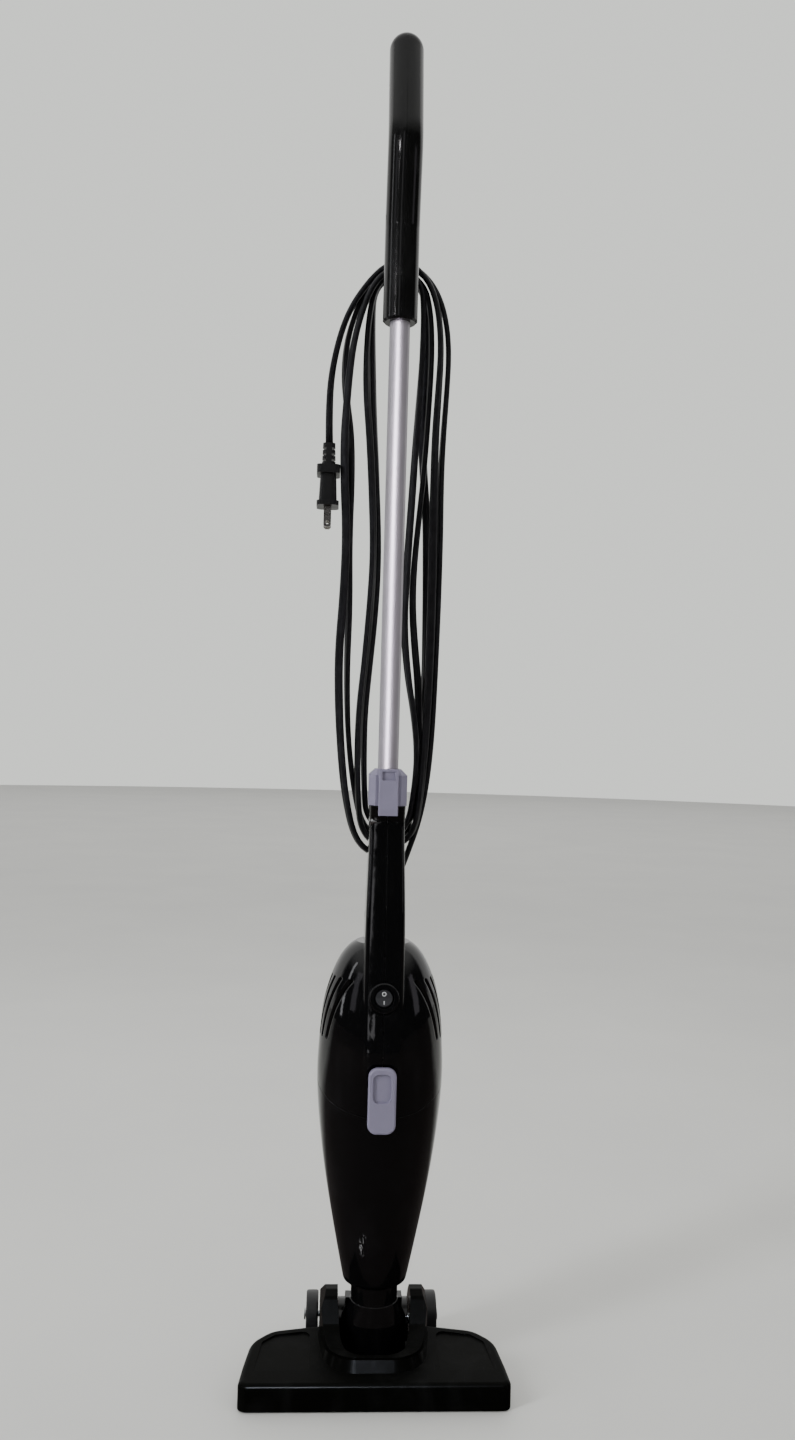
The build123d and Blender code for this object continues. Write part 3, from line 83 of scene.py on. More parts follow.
L2 = [(-23.6, 24.5, 906), (-32.0, 24.5, 882), (-37.8, 24.5, 857), (-40.6, 24.5, 832), (-42.4, 24.5, 805), (-43.9, 24.5, 775), (-42.6, 24.5, 738),
      (-39.6, 24.5, 692), (-40.6, 24.5, 642), (-43.6, 24.5, 592), (-42.2, 24.5, 545), (-39.0, 24.5, 503), (-34.6, 24.5, 468), (-26.6, 25, 435)]
B2 = [(-12.6, 27.4, 420.5), (6.0, 33, 420.5)]
R3 = [(19.2, 37.6, 434), (23.2, 37.8, 460), (26.0, 37.5, 490), (28.8, 37.5, 526), (31.6, 37.5, 570), (31.4, 37.5, 612), (30.6, 37.5, 668),
      (29.4, 37.5, 712), (25.4, 37.5, 752), (22.8, 37.5, 792), (24.4, 37.5, 838), (24.2, 37.5, 866), (23.2, 37.5, 888), (22.6, 37.5, 906)]
T3 = [(9.4, 37.8, 920.5), (-8.6, 37.8, 920.5)]
L3 = [(-21.6, 37.5, 906), (-22.2, 37.5, 880), (-20.8, 37.5, 842), (-18.6, 37.5, 796), (-15.2, 37.5, 752), (-12.4, 37.5, 706), (-11.4, 37.5, 664),
      (-13.6, 37.5, 620), (-17.0, 37.5, 580), (-20.0, 37.5, 540), (-19.6, 37.5, 504), (-18.2, 37.5, 474), (-16.4, 37.3, 453)]
B3 = [(-4.4, 35.4, 441), (13.4, 31.6, 441)]
R4 = [(25.2, 30.9, 454), (27.4, 31, 482), (27.2, 31, 522), (25.6, 31, 566), (21.4, 31, 600), (18.4, 31, 636), (19.4, 31, 672),
      (22.6, 31, 712), (26.0, 31, 756), (28.0, 31, 800), (29.6, 31, 846), (28.8, 31, 874), (26.6, 31, 893), (22.6, 31, 908)]
T4 = [(10.0, 31, 920.5), (-8.2, 31, 920.5)]
L4 = [(-21.2, 31, 906.5), (-25.4, 31, 880), (-26.6, 31, 850), (-25.8, 31, 816), (-21.6, 31, 776), (-18.0, 31, 724), (-15.8, 31, 676),
      (-18.0, 31, 632), (-21.4, 31, 586), (-25.2, 31, 542), (-25.2, 31, 500), (-23.8, 31, 468), (-20.8, 31, 441)]
B4 = [(-7.4, 30, 427), (11.8, 27, 427)]
R5 = [(25.4, 25.2, 441), (29.2, 25, 468), (31.6, 25, 500), (33.4, 25, 545), (34.6, 25, 600), (34.8, 25, 660), (34.2, 25, 720),
      (34.0, 25, 775), (36.0, 25, 820), (37.2, 25, 850), (35.6, 25, 876), (31.6, 25, 897), (24.4, 25.6, 913.5)]
T5 = [(10.2, 27, 927.5), (-10.2, 29, 927.5)]
TAIL = [(-26.5, 30.8, 912), (-44.0, 31, 884), (-54.2, 31, 846), (-57.9, 31, 808), (-56.4, 31, 770.6)]
CORD_ROUTE = LEAD + R1 + T1 + L1 + B1 + R2 + T2 + L2 + B2 + R3 + T3 + L3 + B3 + R4 + T4 + L4 + B4 + R5 + T5 + TAIL


def nurbs(name, points):
    data = bpy.data.curves.new(name, "CURVE")
    data.dimensions = "3D"
    spline = data.splines.new("NURBS")
    spline.points.add(len(points) - 1)
    for p, (x, y, z) in zip(spline.points, points):
        p.co = (x / 1000.0, y / 1000.0, z / 1000.0, 1.0)
    spline.order_u = 3
    spline.use_endpoint_u = True
    spline.resolution_u = 8
    obj = bpy.data.objects.new(name, data)
    scene.collection.objects.link(obj)
    return obj


def curve_points(obj):
    bpy.context.view_layer.update()
    mesh = bpy.data.meshes.new_from_object(obj.evaluated_get(bpy.context.evaluated_depsgraph_get()))
    found = [v.co.copy() for v in mesh.vertices]
    bpy.data.meshes.remove(mesh)
    return found


def lead_mesh(name, path):
    """Flat twin lead along path: two lobes with a groove between, its broad side turning slowly between the folds."""
    lobe, apart = 0.00235, 0.0013
    section = []
    for half in (1.0, -1.0):
        for k in range(8):
            a = math.radians(-120.0 + 240.0 * k / 7)
            section.append((half * (apart + lobe * math.cos(a)), half * lobe * math.sin(a)))
    bm = bmesh.new()
    side = Vector((0.0, 1.0, 0.0))
    along = 0.0
    rings = []
    for i, p in enumerate(path):
        a, b = path[max(i - 1, 0)], path[min(i + 1, len(path) - 1)]
        t = (b - a).normalized()
        along += (p - path[max(i - 1, 0)]).length
        side = (side - t * side.dot(t)).normalized()
        other = t.cross(side)
        free = max(0.0, math.sin(math.pi * min(1.0, max(0.0, (p.z - 0.43) / 0.49))))
        turn = 1.25 * free * math.sin(5.2 * along + 0.8)
        u = side * math.cos(turn) + other * math.sin(turn)
        v = other * math.cos(turn) - side * math.sin(turn)
        rings.append([bm.verts.new(p + u * x + v * y) for x, y in section])
    n = len(section)
    for a, b in zip(rings, rings[1:]):
        for k in range(n):
            bm.faces.new((a[k], a[(k + 1) % n], b[(k + 1) % n], b[k]))
    bm.faces.new(list(reversed(rings[0])))
    bm.faces.new(rings[-1])
    bmesh.ops.recalc_face_normals(bm, faces=bm.faces)
    mesh = bpy.data.meshes.new(name)
    bm.to_mesh(mesh)
    bm.free()
    for poly in mesh.polygons:
        poly.use_smooth = len(poly.vertices) == 4
    obj = bpy.data.objects.new(name, mesh)
    scene.collection.objects.link(obj)
    return obj


guide = nurbs("cord_guide", CORD_ROUTE)
cord_path = curve_points(guide)
bpy.data.objects.remove(guide)
cord = lead_mesh("mains_cord", cord_path)
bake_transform(cord)
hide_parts("cord_lead", "cord_hank", "cord_tail")

# ------------------------------------------------------------------ O and I on the rocker
ROCKER = Vector((0.0, -0.034629, 0.311680))
UP_FACE, OUT_FACE = Vector((0.0, 0.12794, 0.99178)), Vector((0.0, -0.99178, 0.12794))


def face_mark(name, outer, inner, centre, tip):
    """Thin printed mark: outlines in mm on the rocker's face, centre as (up, out) in mm, tip as the face's tilt."""
    u = Vector((1.0, 0.0, 0.0))
    v = UP_FACE * math.cos(tip) - OUT_FACE * math.sin(tip)
    w = OUT_FACE * math.cos(tip) + UP_FACE * math.sin(tip)
    base = ROCKER + UP_FACE * (centre[0] / 1000.0) + OUT_FACE * (centre[1] / 1000.0)

    def at(x, y, h):
        return base + (u * x + v * y + w * h) / 1000.0

    bm = bmesh.new()
    n = len(outer)
    loops = []
    for line, h in ((outer, -0.1), (outer, 0.03), ([(x * 0.97, y * 0.97) for x, y in outer], 0.06)):
        loops.append([bm.verts.new(at(x, y, h)) for x, y in line])
    if inner:
        for line, h in (([(x * 1.03, y * 1.03) for x, y in inner], 0.06), (inner, 0.03), (inner, -0.1)):
            loops.append([bm.verts.new(at(x, y, h)) for x, y in line])
        loops.append(loops[0])
    for a, b in zip(loops, loops[1:]):
        for k in range(n):
            bm.faces.new((a[k], a[(k + 1) % n], b[(k + 1) % n], b[k]))
    if not inner:
        bm.faces.new(loops[-1])
        bm.faces.new(list(reversed(loops[0])))
    bmesh.ops.recalc_face_normals(bm, faces=bm.faces)
    mesh = bpy.data.meshes.new(name)
    bm.to_mesh(mesh)
    bm.free()
    obj = bpy.data.objects.new(name, mesh)
    scene.collection.objects.link(obj)
    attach(obj, "switch_rocker")
    return obj


def round_line(r, n=48):
    return [(r * math.cos(2 * math.pi * k / n), r * math.sin(2 * math.pi * k / n)) for k in range(n)]


def bar_line(half_w, half_h, n=12):
    pts = []
    for k in range(n + 1):
        a = math.pi * k / n
        pts.append((half_w * math.cos(a), half_h - half_w + half_w * math.sin(a)))
    return pts + [(-x, -y) for x, y in pts]


mark_off = face_mark("rocker_mark_off", round_line(1.75), round_line(1.15), (3.55, 3.375), 0.0)
mark_on = face_mark("rocker_mark_on", bar_line(0.3, 1.55), None, (-3.2, 4.276), math.radians(14.0))


# ------------------------------------------------------------------ finely divided leaf springs
def leaf(name, node):
    """Finely divided leaf in the place of a plain one."""
    bm = bmesh.new()
    bm.from_mesh(nodes[node].data)
    bmesh.ops.remove_doubles(bm, verts=bm.verts, dist=1e-7)
    bmesh.ops.subdivide_edges(bm, edges=bm.edges, cuts=3, use_grid_fill=True)
    mesh = bpy.data.meshes.new(name)
    bm.to_mesh(mesh)
    bm.free()
    obj = bpy.data.objects.new(name, mesh)
    scene.collection.objects.link(obj)
    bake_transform(obj)
    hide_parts(node)
    return obj


cup_leaf = leaf("cup_latch_leaf", "cup_latch_spring")
wand_leaf = leaf("wand_latch_leaf", "wand_latch_spring")


# ------------------------------------------------------------------ materials
class Mat:
    """A procedural material: a Principled shader with helpers that add its detail."""

    def __init__(self, name, colour, rough, metal=0.0, spec=0.5, coat=0.0, coat_rough=0.05, aniso=0.0):
        self.m = bpy.data.materials.new(name)
        self.m.use_nodes = True
        self.t = self.m.node_tree
        self.t.nodes.clear()
        self.out = self.add("ShaderNodeOutputMaterial")
        self.p = self.add("ShaderNodeBsdfPrincipled")
        self.link(self.p.outputs[0], self.out.inputs[0])
        self.p.inputs["Base Color"].default_value = (*colour, 1.0)
        self.p.inputs["Roughness"].default_value = rough
        self.p.inputs["Metallic"].default_value = metal
        self.p.inputs["Specular IOR Level"].default_value = spec
        self.p.inputs["Coat Weight"].default_value = coat
        self.p.inputs["Coat Roughness"].default_value = coat_rough
        self.p.inputs["Anisotropic"].default_value = aniso
        self.m.diffuse_color = (*colour, 1.0)
        self.colour, self.rough = colour, rough
        self.coords = self.add("ShaderNodeTexCoord").outputs["Object"]

    def add(self, kind, **values):
        n = self.t.nodes.new(kind)
        for k, v in values.items():
            setattr(n, k, v)
        return n

    def link(self, a, b):
        self.t.links.new(a, b)

    def stretched(self, scale):
        n = self.add("ShaderNodeMapping")
        n.inputs["Scale"].default_value = scale
        self.link(self.coords, n.inputs["Vector"])
        return n.outputs[0]

    def noise(self, scale, detail=3.0, rough=0.55, stretch=None, distortion=0.0):
        n = self.add("ShaderNodeTexNoise")
        n.inputs["Scale"].default_value = scale
        n.inputs["Detail"].default_value = detail
        n.inputs["Roughness"].default_value = rough
        n.inputs["Distortion"].default_value = distortion
        self.link(self.stretched(stretch) if stretch else self.coords, n.inputs["Vector"])
        return n.outputs[0]

    def ramp(self, value, stops):
        n = self.add("ShaderNodeValToRGB")
        e = n.color_ramp.elements
        while len(e) < len(stops):
            e.new(0.5)
        for s, (pos, v) in zip(e, stops):
            s.position = pos
            s.color = (v, v, v, 1.0) if not isinstance(v, tuple) else (*v, 1.0)
        self.link(value, n.inputs[0])
        return n.outputs[0]

    def math(self, op, a, b, clamp=False):
        n = self.add("ShaderNodeMath", operation=op, use_clamp=clamp)
        for i, v in enumerate((a, b)):
            if isinstance(v, (int, float)):
                n.inputs[i].default_value = v
            else:
                self.link(v, n.inputs[i])
        return n.outputs[0]

    def mix(self, factor, a, b):
        n = self.add("ShaderNodeMix", data_type="RGBA")
        for socket, v in ((n.inputs[0], factor), (n.inputs[6], a), (n.inputs[7], b)):
            if isinstance(v, tuple):
                socket.default_value = (*v, 1.0)
            elif isinstance(v, (int, float)):
                socket.default_value = v
            else:
                self.link(v, socket)
        return n.outputs[2]

    def upward(self, low=0.55, high=0.95):
        g = self.add("ShaderNodeNewGeometry")
        s = self.add("ShaderNodeSeparateXYZ")
        self.link(g.outputs["Normal"], s.inputs[0])
        n = self.add("ShaderNodeMapRange")
        n.inputs["From Min"].default_value = low
        n.inputs["From Max"].default_value = high
        self.link(s.outputs["Z"], n.inputs["Value"])
        return n.outputs[0]

    def near(self, point, reach):
        """1 at point, fading to 0 at reach from it along each axis."""
        d = self.add("ShaderNodeVectorMath", operation="DISTANCE")
        d.inputs[1].default_value = tuple(c / r for c, r in zip(point, reach))
        self.link(self.stretched(tuple(1.0 / r for r in reach)), d.inputs[0])
        n = self.add("ShaderNodeMapRange")
        n.inputs["From Min"].default_value = 1.0
        n.inputs["From Max"].default_value = 0.45
        self.link(d.outputs["Value"], n.inputs["Value"])
        return n.outputs[0]

    def bump(self, height, strength, distance, soften=0.0):
        n = self.add("ShaderNodeBump")
        n.inputs["Strength"].default_value = strength
        n.inputs["Distance"].default_value = distance
        self.link(height, n.inputs["Height"])
        if soften:
            b = self.add("ShaderNodeBevel", samples=4)
            b.inputs["Radius"].default_value = soften
            self.link(b.outputs[0], n.inputs["Normal"])
        self.link(n.outputs[0], self.p.inputs["Normal"])


def gloss_black(name, colour=(0.0040, 0.0040, 0.0044), rough=0.1, scuff=0.35, dust=0.0, soften=0.0004, spec=0.30, scars=None, dull=0.0):
    """Moulded gloss plastic: faint orange peel, fine rub marks, a few scratches and a trace of dust on top."""
    m = Mat(name, colour, rough, spec=spec)
    rub = m.ramp(m.noise(38.0, 5.0, 0.62, (1.0, 1.0, 0.45), 0.6), [(0.52, 0.0), (0.74, 1.0)])
    hair = m.ramp(m.noise(1.0, 2.0, 0.4, (900.0, 60.0, 140.0)), [(0.66, 0.0), (0.72, 1.0)])
    patch = m.ramp(m.noise(17.0, 3.0), [(0.46, 0.0), (0.66, 1.0)])
    marks = m.math("MULTIPLY", hair, patch)
    wear = m.math("ADD", m.math("MULTIPLY", rub, 0.5 * scuff), m.math("MULTIPLY", marks, 0.55 * scuff), True)
    r = m.math("ADD", rough, m.math("MULTIPLY", wear, 0.34))
    base = m.mix(m.math("MULTIPLY", wear, 0.35), colour, (0.055, 0.055, 0.058))
    if dust:
        speck = m.ramp(m.noise(420.0, 2.0, 0.7), [(0.5, 0.25), (0.72, 1.0)])
        film = m.math("MULTIPLY", m.math("MULTIPLY", m.upward(), speck), dust)
        base = m.mix(film, base, (0.17, 0.165, 0.155))
        r = m.math("ADD", r, m.math("MULTIPLY", film, 0.9), True)
    if dull:
        r = m.math("ADD", r, m.math("MULTIPLY", m.upward(0.25, 0.95), dull), True)
    if scars:
        cut = m.ramp(m.noise(1.0, 3.0, 0.62, (520.0, 520.0, 105.0), 1.1), [(0.57, 0.0), (0.62, 1.0)])
        near = m.near(*scars)
        cut = m.math("MULTIPLY", cut, near, True)
        base = m.mix(cut, base, (0.30, 0.30, 0.31))
        r = m.math("ADD", r, m.math("MULTIPLY", cut, 0.4), True)
    m.link(base, m.p.inputs["Base Color"])
    m.link(r, m.p.inputs["Roughness"])
    peel = m.math("ADD", m.noise(210.0, 2.0, 0.5), m.math("MULTIPLY", marks, -0.25))
    m.bump(peel, 0.05, 0.0006, soften)
    return m.m


def satin_plastic(name, colour, rough, grain=1500.0, depth=0.00012, tint=0.16, soften=0.0004, spec=0.45):
    """Moulded plastic with a fine spark-eroded grain, cloudy colour and polished high spots."""
    m = Mat(name, colour, rough, spec=spec)
    cloud = m.noise(26.0, 4.0, 0.6)
    dark = tuple(c * (1.0 - tint) for c in colour)
    light = tuple(min(1.0, c * (1.0 + tint)) for c in colour)
    rub = m.ramp(m.noise(60.0, 4.0, 0.65, (1.0, 1.0, 0.5), 0.4), [(0.5, 0.0), (0.76, 1.0)])
    base = m.mix(m.ramp(cloud, [(0.32, 0.0), (0.68, 1.0)]), dark, light)
    base = m.mix(m.math("MULTIPLY", rub, 0.12), base, tuple(min(1.0, c * 1.5 + 0.02) for c in colour))
    m.link(base, m.p.inputs["Base Color"])
    fine = m.noise(grain, 2.0, 0.6)
    r = m.math("ADD", rough - 0.05, m.math("MULTIPLY", m.math("ADD", fine, m.math("MULTIPLY", rub, -0.6)), 0.12), True)
    m.link(r, m.p.inputs["Roughness"])
    m.bump(fine, 0.22, depth, soften)
    return m.m


def silver_paint(name):
    """Satin silver finish on a drawn tube: faint lines along it and a few rub marks."""
    m = Mat(name, (0.37, 0.35, 0.385), 0.36, metal=0.6, aniso=0.3)
    lines = m.noise(1.0, 3.0, 0.6, (900.0, 900.0, 9.0))
    cloud = m.noise(30.0, 3.0, 0.6, (1.0, 1.0, 0.3))
    nick = m.ramp(m.noise(150.0, 3.0, 0.7, (1.0, 1.0, 0.25)), [(0.68, 0.0), (0.74, 1.0)])
    base = m.mix(m.ramp(lines, [(0.3, 0.0), (0.7, 1.0)]), (0.345, 0.325, 0.36), (0.40, 0.38, 0.415))
    base = m.mix(m.math("MULTIPLY", nick, 0.35), base, (0.30, 0.30, 0.30))
    m.link(base, m.p.inputs["Base Color"])
    r = m.math("ADD", 0.27, m.math("MULTIPLY", m.math("ADD", cloud, m.math("MULTIPLY", lines, 0.6)), 0.13), True)
    m.link(r, m.p.inputs["Roughness"])
    m.bump(lines, 0.1, 0.0001)
    return m.m


def rubber(name, colour=(0.0065, 0.0065, 0.0078), rough=0.38):
    """Extruded flexible jacket: dull, a little dusty, with fine drawn lines and soft dents."""
    m = Mat(name, colour, rough, spec=0.4)
    dull = m.noise(85.0, 4.0, 0.65)
    fine = m.noise(1400.0, 2.0, 0.6)
    base = m.mix(m.ramp(dull, [(0.42, 0.0), (0.72, 1.0)]), colour, tuple(c * 2.1 for c in colour))
    m.link(base, m.p.inputs["Base Color"])
    m.link(m.math("ADD", rough - 0.08, m.math("MULTIPLY", dull, 0.24), True), m.p.inputs["Roughness"])
    m.bump(m.math("ADD", m.math("MULTIPLY", fine, 0.35), dull), 0.28, 0.0004)
    return m.m


def metal(name, colour, rough, scale=260.0, stretch=(1.0, 1.0, 1.0), stain=0.25):
    m = Mat(name, colour, rough, metal=1.0)
    grain = m.noise(scale, 4.0, 0.65, stretch)
    spot = m.ramp(m.noise(70.0, 4.0, 0.6), [(0.5, 0.0), (0.8, 1.0)])
    m.link(m.mix(m.math("MULTIPLY", spot, stain), colour, tuple(c * 0.55 for c in colour)), m.p.inputs["Base Color"])
    m.link(m.math("ADD", rough - 0.06, m.math("MULTIPLY", grain, 0.16), True), m.p.inputs["Roughness"])
    m.bump(grain, 0.12, 0.0001)
    return m.m


def fibre(name, colour, scale, stretch, rough=0.85, deep=0.5, tint=0.45):
    m = Mat(name, colour, rough, spec=0.2)
    strand = m.noise(1.0, 3.0, 0.6, tuple(scale * s for s in stretch))
    m.link(m.mix(m.ramp(strand, [(0.3, 0.0), (0.7, 1.0)]), tuple(c * (1 - tint) for c in colour), colour), m.p.inputs["Base Color"])
    m.link(m.math("ADD", rough - 0.1, m.math("MULTIPLY", strand, 0.15), True), m.p.inputs["Roughness"])
    m.bump(strand, deep, 0.0006)
    return m.m


MATERIALS = {
    "body_gloss": gloss_black("body_gloss", (0.0022, 0.0022, 0.0025), rough=0.06, scuff=0.30, soften=0.0009, spec=0.48),
    "cup_gloss": gloss_black("cup_gloss", (0.0022, 0.0022, 0.0025), rough=0.06, scuff=0.30, soften=0.0009, spec=0.48, scars=((-0.0113, -0.0305, 0.1108), (0.0036, 0.02, 0.0125))),
    "head_gloss": gloss_black("head_gloss", (0.0020, 0.0021, 0.0018), rough=0.10, scuff=0.35, dust=0.008, spec=0.03, dull=0.26),
    "handle_gloss": gloss_black("handle_gloss", (0.0050, 0.0050, 0.0050), rough=0.13, scuff=0.55),
    "moulded_black": satin_plastic("moulded_black", (0.0095, 0.0095, 0.0100), 0.38, spec=0.36),
    "rocker_black": satin_plastic("rocker_black", (0.024, 0.024, 0.027), 0.42),
    "grey_plastic": satin_plastic("grey_plastic", (0.222, 0.206, 0.290), 0.38, 1500.0, 0.00008, 0.05),
    "silver_tube": silver_paint("silver_tube"),
    "cord_rubber": rubber("cord_rubber"),
    "soft_rubber": rubber("soft_rubber", (0.02, 0.02, 0.021), 0.6),
    "wheel_black": satin_plastic("wheel_black", (0.014, 0.014, 0.0148), 0.42, 700.0, 0.0002, 0.3),
    "bristle": fibre("bristle", (0.02, 0.02, 0.021), 1.0, (1600.0, 900.0, 60.0)),
    "filter_paper": fibre("filter_paper", (0.62, 0.60, 0.54), 1.0, (700.0, 700.0, 500.0), 0.9, 0.3, 0.15),
    "steel": metal("steel", (0.56, 0.57, 0.58), 0.32),
    "brass": metal("brass", (0.62, 0.47, 0.22), 0.30, 300.0, (0.3, 1.0, 1.0)),
    "copper": metal("copper", (0.66, 0.33, 0.19), 0.34, 1.0, (40.0, 40.0, 900.0)),
    "carbon": satin_plastic("carbon", (0.025, 0.025, 0.026), 0.5, 900.0, 0.0003, 0.3),
    "mark_ink": satin_plastic("mark_ink", (0.62, 0.63, 0.65), 0.5, 2500.0, 0.00003, 0.08, 0.0),
    "nickel": metal("nickel", (0.60, 0.585, 0.55), 0.24, 300.0, (0.3, 1.0, 1.0)),
    "core_steel": metal("core_steel", (0.36, 0.36, 0.37), 0.42, 1.0, (30.0, 30.0, 1800.0)),
}
FINISH = {
    "body_gloss": ["left_housing", "right_housing", "elbow", "switch_body"],
    "cup_gloss": ["dust_cup"],
    "head_gloss": ["head_shell"],
    "handle_gloss": ["handle_left", "handle_right"],
    "moulded_black": [
        "sole_plate", "inlet_flap", "bulkhead", "filter_end_cap", "filter_flange", "fan_shroud",
        "upper_cord_hook", "lower_cord_hook", "brush_holders", "plug_body", "impeller",
    ],
    "rocker_black": ["switch_rocker"],
    "grey_plastic": ["connector_collar", "wand_latch", "cup_latch"],
    "silver_tube": ["wand_tube"],
    "cord_rubber": ["cord_lead", "cord_hank", "cord_tail", "cord_strain_relief"],
    "soft_rubber": ["elbow_seal", "cup_seal", "motor_mount"],
    "wheel_black": ["left_wheel", "right_wheel"],
    "bristle": ["bristle_strip"],
    "filter_paper": ["filter_element"],
    "steel": [
        "sole_screws", "tilt_pins", "wheel_axles", "flap_pin", "housing_screws", "cup_latch_pin", "cup_latch_spring", "motor_case",
        "lower_bearing", "upper_bearing", "motor_shaft", "handle_screws", "wand_latch_pin", "wand_latch_spring",
    ],
    "brass": ["switch_terminals"],
    "nickel": ["plug_blades"],
    "copper": ["field_coils", "commutator"],
    "carbon": ["carbon_brushes"],
    "core_steel": ["stator_core", "armature_core"],
}


def dress(obj, material):
    obj.data.materials.clear()
    obj.data.materials.append(material)


for finish, names in FINISH.items():
    for n in names:
        dress(nodes[n], MATERIALS[finish])
dress(cord, MATERIALS["cord_rubber"])
for piece in (mark_off, mark_on):
    dress(piece, MATERIALS["mark_ink"])
for piece in (cup_leaf, wand_leaf):
    dress(piece, MATERIALS["steel"])

# ------------------------------------------------------------------ floor and light
WALL_LIGHT, SKY_LIGHT, ROOM_LIGHT = 1.0, 0.7, 0.025
floor_mesh = bpy.data.meshes.new("floor")
bm = bmesh.new()
bmesh.ops.create_circle(bm, cap_ends=True, segments=96, radius=9.0)
bm.to_mesh(floor_mesh)
bm.free()
floor = bpy.data.objects.new("floor", floor_mesh)
scene.collection.objects.link(floor)
pale = Mat("floor_pale", (0.62, 0.625, 0.60), 0.55, spec=0.3)
cloudy = pale.mix(pale.ramp(pale.noise(3.0, 4.0), [(0.3, 0.0), (0.7, 1.0)]), (0.60, 0.605, 0.585), (0.64, 0.645, 0.62))
# painted reflection: for glossy rays only, the floor in front is coloured dark, so the gloss parts mirror a darker
# floor than the pale one seen directly
place = pale.add("ShaderNodeSeparateXYZ")
pale.link(pale.coords, place.inputs[0])
front = pale.add("ShaderNodeMapRange")
front.inputs["From Min"].default_value, front.inputs["From Max"].default_value = 0.5, 0.25
pale.link(place.outputs["Y"], front.inputs["Value"])
mirrored = pale.math("MULTIPLY", pale.add("ShaderNodeLightPath").outputs["Is Glossy Ray"], front.outputs[0])
pale.link(pale.mix(mirrored, cloudy, (0.040, 0.030, 0.027)), pale.p.inputs["Base Color"])
dress(floor, pale.m)

# a pale wall of light behind, a soft grey above and a dark room in front
world = bpy.data.worlds.new("studio")
scene.world = world
world.use_nodes = True
tree = world.node_tree
back = tree.nodes["Background"]


def ramp_of(socket, low, high, to):
    n = tree.nodes.new("ShaderNodeMapRange")
    n.interpolation_type = "SMOOTHSTEP"
    n.inputs["From Min"].default_value, n.inputs["From Max"].default_value = low, high
    n.inputs["To Max"].default_value = to
    tree.links.new(socket, n.inputs["Value"])
    return n.outputs[0]


def larger(a, b):
    n = tree.nodes.new("ShaderNodeMath")
    n.operation = "MAXIMUM"
    for socket, v in zip(n.inputs, (a, b)):
        if isinstance(v, float):
            socket.default_value = v
        else:
            tree.links.new(v, socket)
    return n.outputs[0]


way = tree.nodes.new("ShaderNodeSeparateXYZ")
tree.links.new(tree.nodes.new("ShaderNodeTexCoord").outputs["Generated"], way.inputs[0])
behind = ramp_of(way.outputs["Y"], 0.18, 0.36, WALL_LIGHT)
above = ramp_of(way.outputs["Z"], 0.42, 0.78, SKY_LIGHT)
ray = tree.nodes.new("ShaderNodeLightPath")
soften = tree.nodes.new("ShaderNodeMapRange")
soften.inputs["To Min"].default_value, soften.inputs["To Max"].default_value = 1.0, 0.4
tree.links.new(ray.outputs["Is Diffuse Ray"], soften.inputs["Value"])
strength = tree.nodes.new("ShaderNodeMath")
strength.operation = "MULTIPLY"
tree.links.new(larger(larger(behind, above), ROOM_LIGHT), strength.inputs[0])
tree.links.new(soften.outputs[0], strength.inputs[1])
tree.links.new(strength.outputs[0], back.inputs["Strength"])
back.inputs["Color"].default_value = (1.0, 1.0, 0.985, 1.0)
plain = tree.nodes.new("ShaderNodeBackground")
plain.inputs["Color"].default_value = (0.98, 1.0, 0.955, 1.0)
plain.inputs["Strength"].default_value = WALL_LIGHT
pick = tree.nodes.new("ShaderNodeMixShader")
tree.links.new(ray.outputs["Is Camera Ray"], pick.inputs[0])
tree.links.new(back.outputs[0], pick.inputs[1])
tree.links.new(plain.outputs[0], pick.inputs[2])
tree.links.new(pick.outputs[0], tree.nodes["World Output"].inputs["Surface"])


def soft_light(name, place, aim, size, power, tint=(1.0, 1.0, 1.0), mirrored=False, spread=180.0):
    data = bpy.data.lights.new(name, "AREA")
    data.shape = "RECTANGLE"
    data.size, data.size_y = size
    data.energy = power
    data.color = tint
    data.spread = math.radians(spread)
    obj = bpy.data.objects.new(name, data)
    obj.location = place
    obj.rotation_euler = (Vector(aim) - Vector(place)).to_track_quat("-Z", "Y").to_euler()
    obj.visible_camera = False
    obj.visible_glossy = mirrored
    obj.visible_diffuse = not mirrored
    scene.collection.objects.link(obj)
    return obj


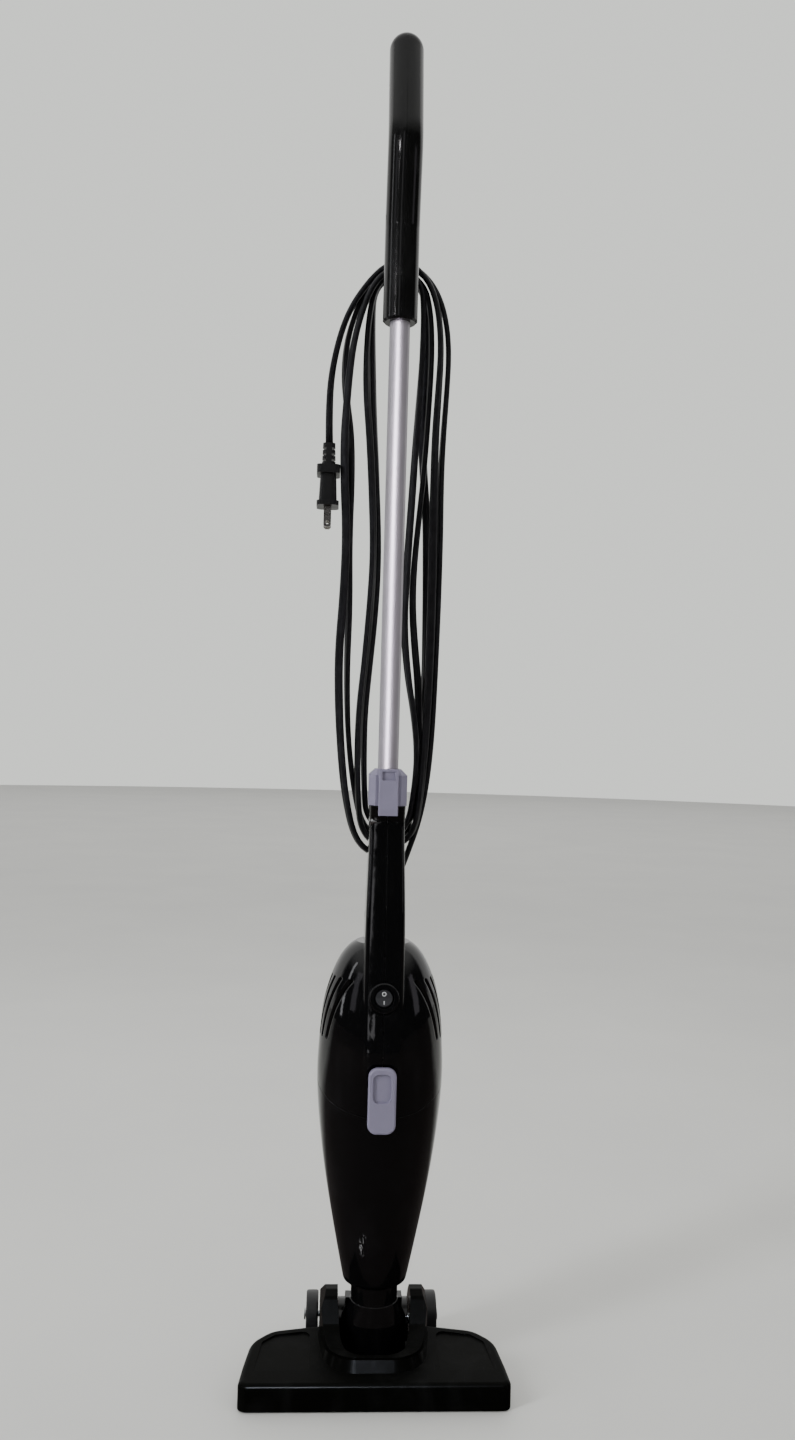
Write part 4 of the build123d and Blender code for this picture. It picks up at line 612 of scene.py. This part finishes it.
soft_light("window", (-2.0, -1.25, 1.25), (0.0, 0.0, 0.55), (0.4, 1.9), 48.0, (0.96, 0.975, 1.0))
soft_light("fill", (1.9, -1.5, 0.9), (0.0, 0.0, 0.6), (0.9, 1.4), 9.0, (1.0, 0.98, 0.95))
soft_light("pool", (0.0, 0.5, 2.6), (0.0, 0.5, 0.0), (1.7, 1.5), 5.0, (1.0, 0.99, 0.97), spread=75.0)
soft_light("far_wash", (0.0, 5.2, 3.4), (0.0, 5.2, 0.0), (10.0, 6.5), 190.0, (1.0, 0.99, 0.97))
soft_light("near_wash", (0.0, -5.2, 3.4), (0.0, -5.2, 0.0), (10.0, 6.5), 150.0, (1.0, 0.99, 0.97))
soft_light("left_wash", (-5.2, 0.0, 3.4), (-5.2, 0.0, 0.0), (6.0, 3.6), 70.0, (1.0, 0.99, 0.97))
soft_light("right_wash", (5.2, 0.0, 3.4), (5.2, 0.0, 0.0), (6.0, 3.6), 70.0, (1.0, 0.99, 0.97))
# what the gloss parts mirror: a narrow window, a lamp in the room, and a dim pane on either side
soft_light("window_edge", (-2.25, -0.40, 1.2), (0.0, 0.0, 0.5), (0.20, 1.7), 3.8, (0.96, 0.97, 1.0), True)
soft_light("room_lamp", (-0.58, -2.3, 1.1), (0.0, 0.0, 0.55), (0.17, 2.0), 1.7, (0.97, 0.96, 1.0), True)
soft_light("window_pane", (-2.0, -1.35, 1.25), (0.0, 0.0, 0.5), (0.5, 1.2), 1.2, (0.93, 0.90, 1.0), True)
soft_light("room_pane", (2.1, -0.9, 1.0), (0.0, 0.0, 0.5), (0.5, 1.0), 1.1, (0.95, 0.90, 1.0), True)
# a sheen along the front of the tube
sheen = soft_light("tube_sheen", (-0.75, -2.2, 1.0), (0.0, 0.0, 0.6), (1.2, 1.7), 165.0, (0.98, 0.91, 1.0), True)
satin_pieces = bpy.data.collections.new("satin_pieces")
satin_pieces.objects.link(nodes["wand_tube"])
sheen.light_linking.receiver_collection = satin_pieces
# a glint on the floor head's front edge and on the rim of its pocket
glint = soft_light("head_glint", (-0.17, -1.9, 1.5), (0.0, 0.0, 0.05), (0.22, 0.22), 75.0, (0.80, 0.86, 1.0), True)
head_pieces = bpy.data.collections.new("head_pieces")
head_pieces.objects.link(nodes["head_shell"])
glint.light_linking.receiver_collection = head_pieces
# a glint at the handle's bend
bend_glint = soft_light("bend_glint", (-1.43, -1.8, 1.38), (0.0, 0.0, 0.9), (0.12, 0.5), 12.0, (1.0, 0.97, 1.0), True)
handle_pieces = bpy.data.collections.new("handle_pieces")
for n in ("handle_left", "handle_right"):
    handle_pieces.objects.link(nodes[n])
bend_glint.light_linking.receiver_collection = handle_pieces
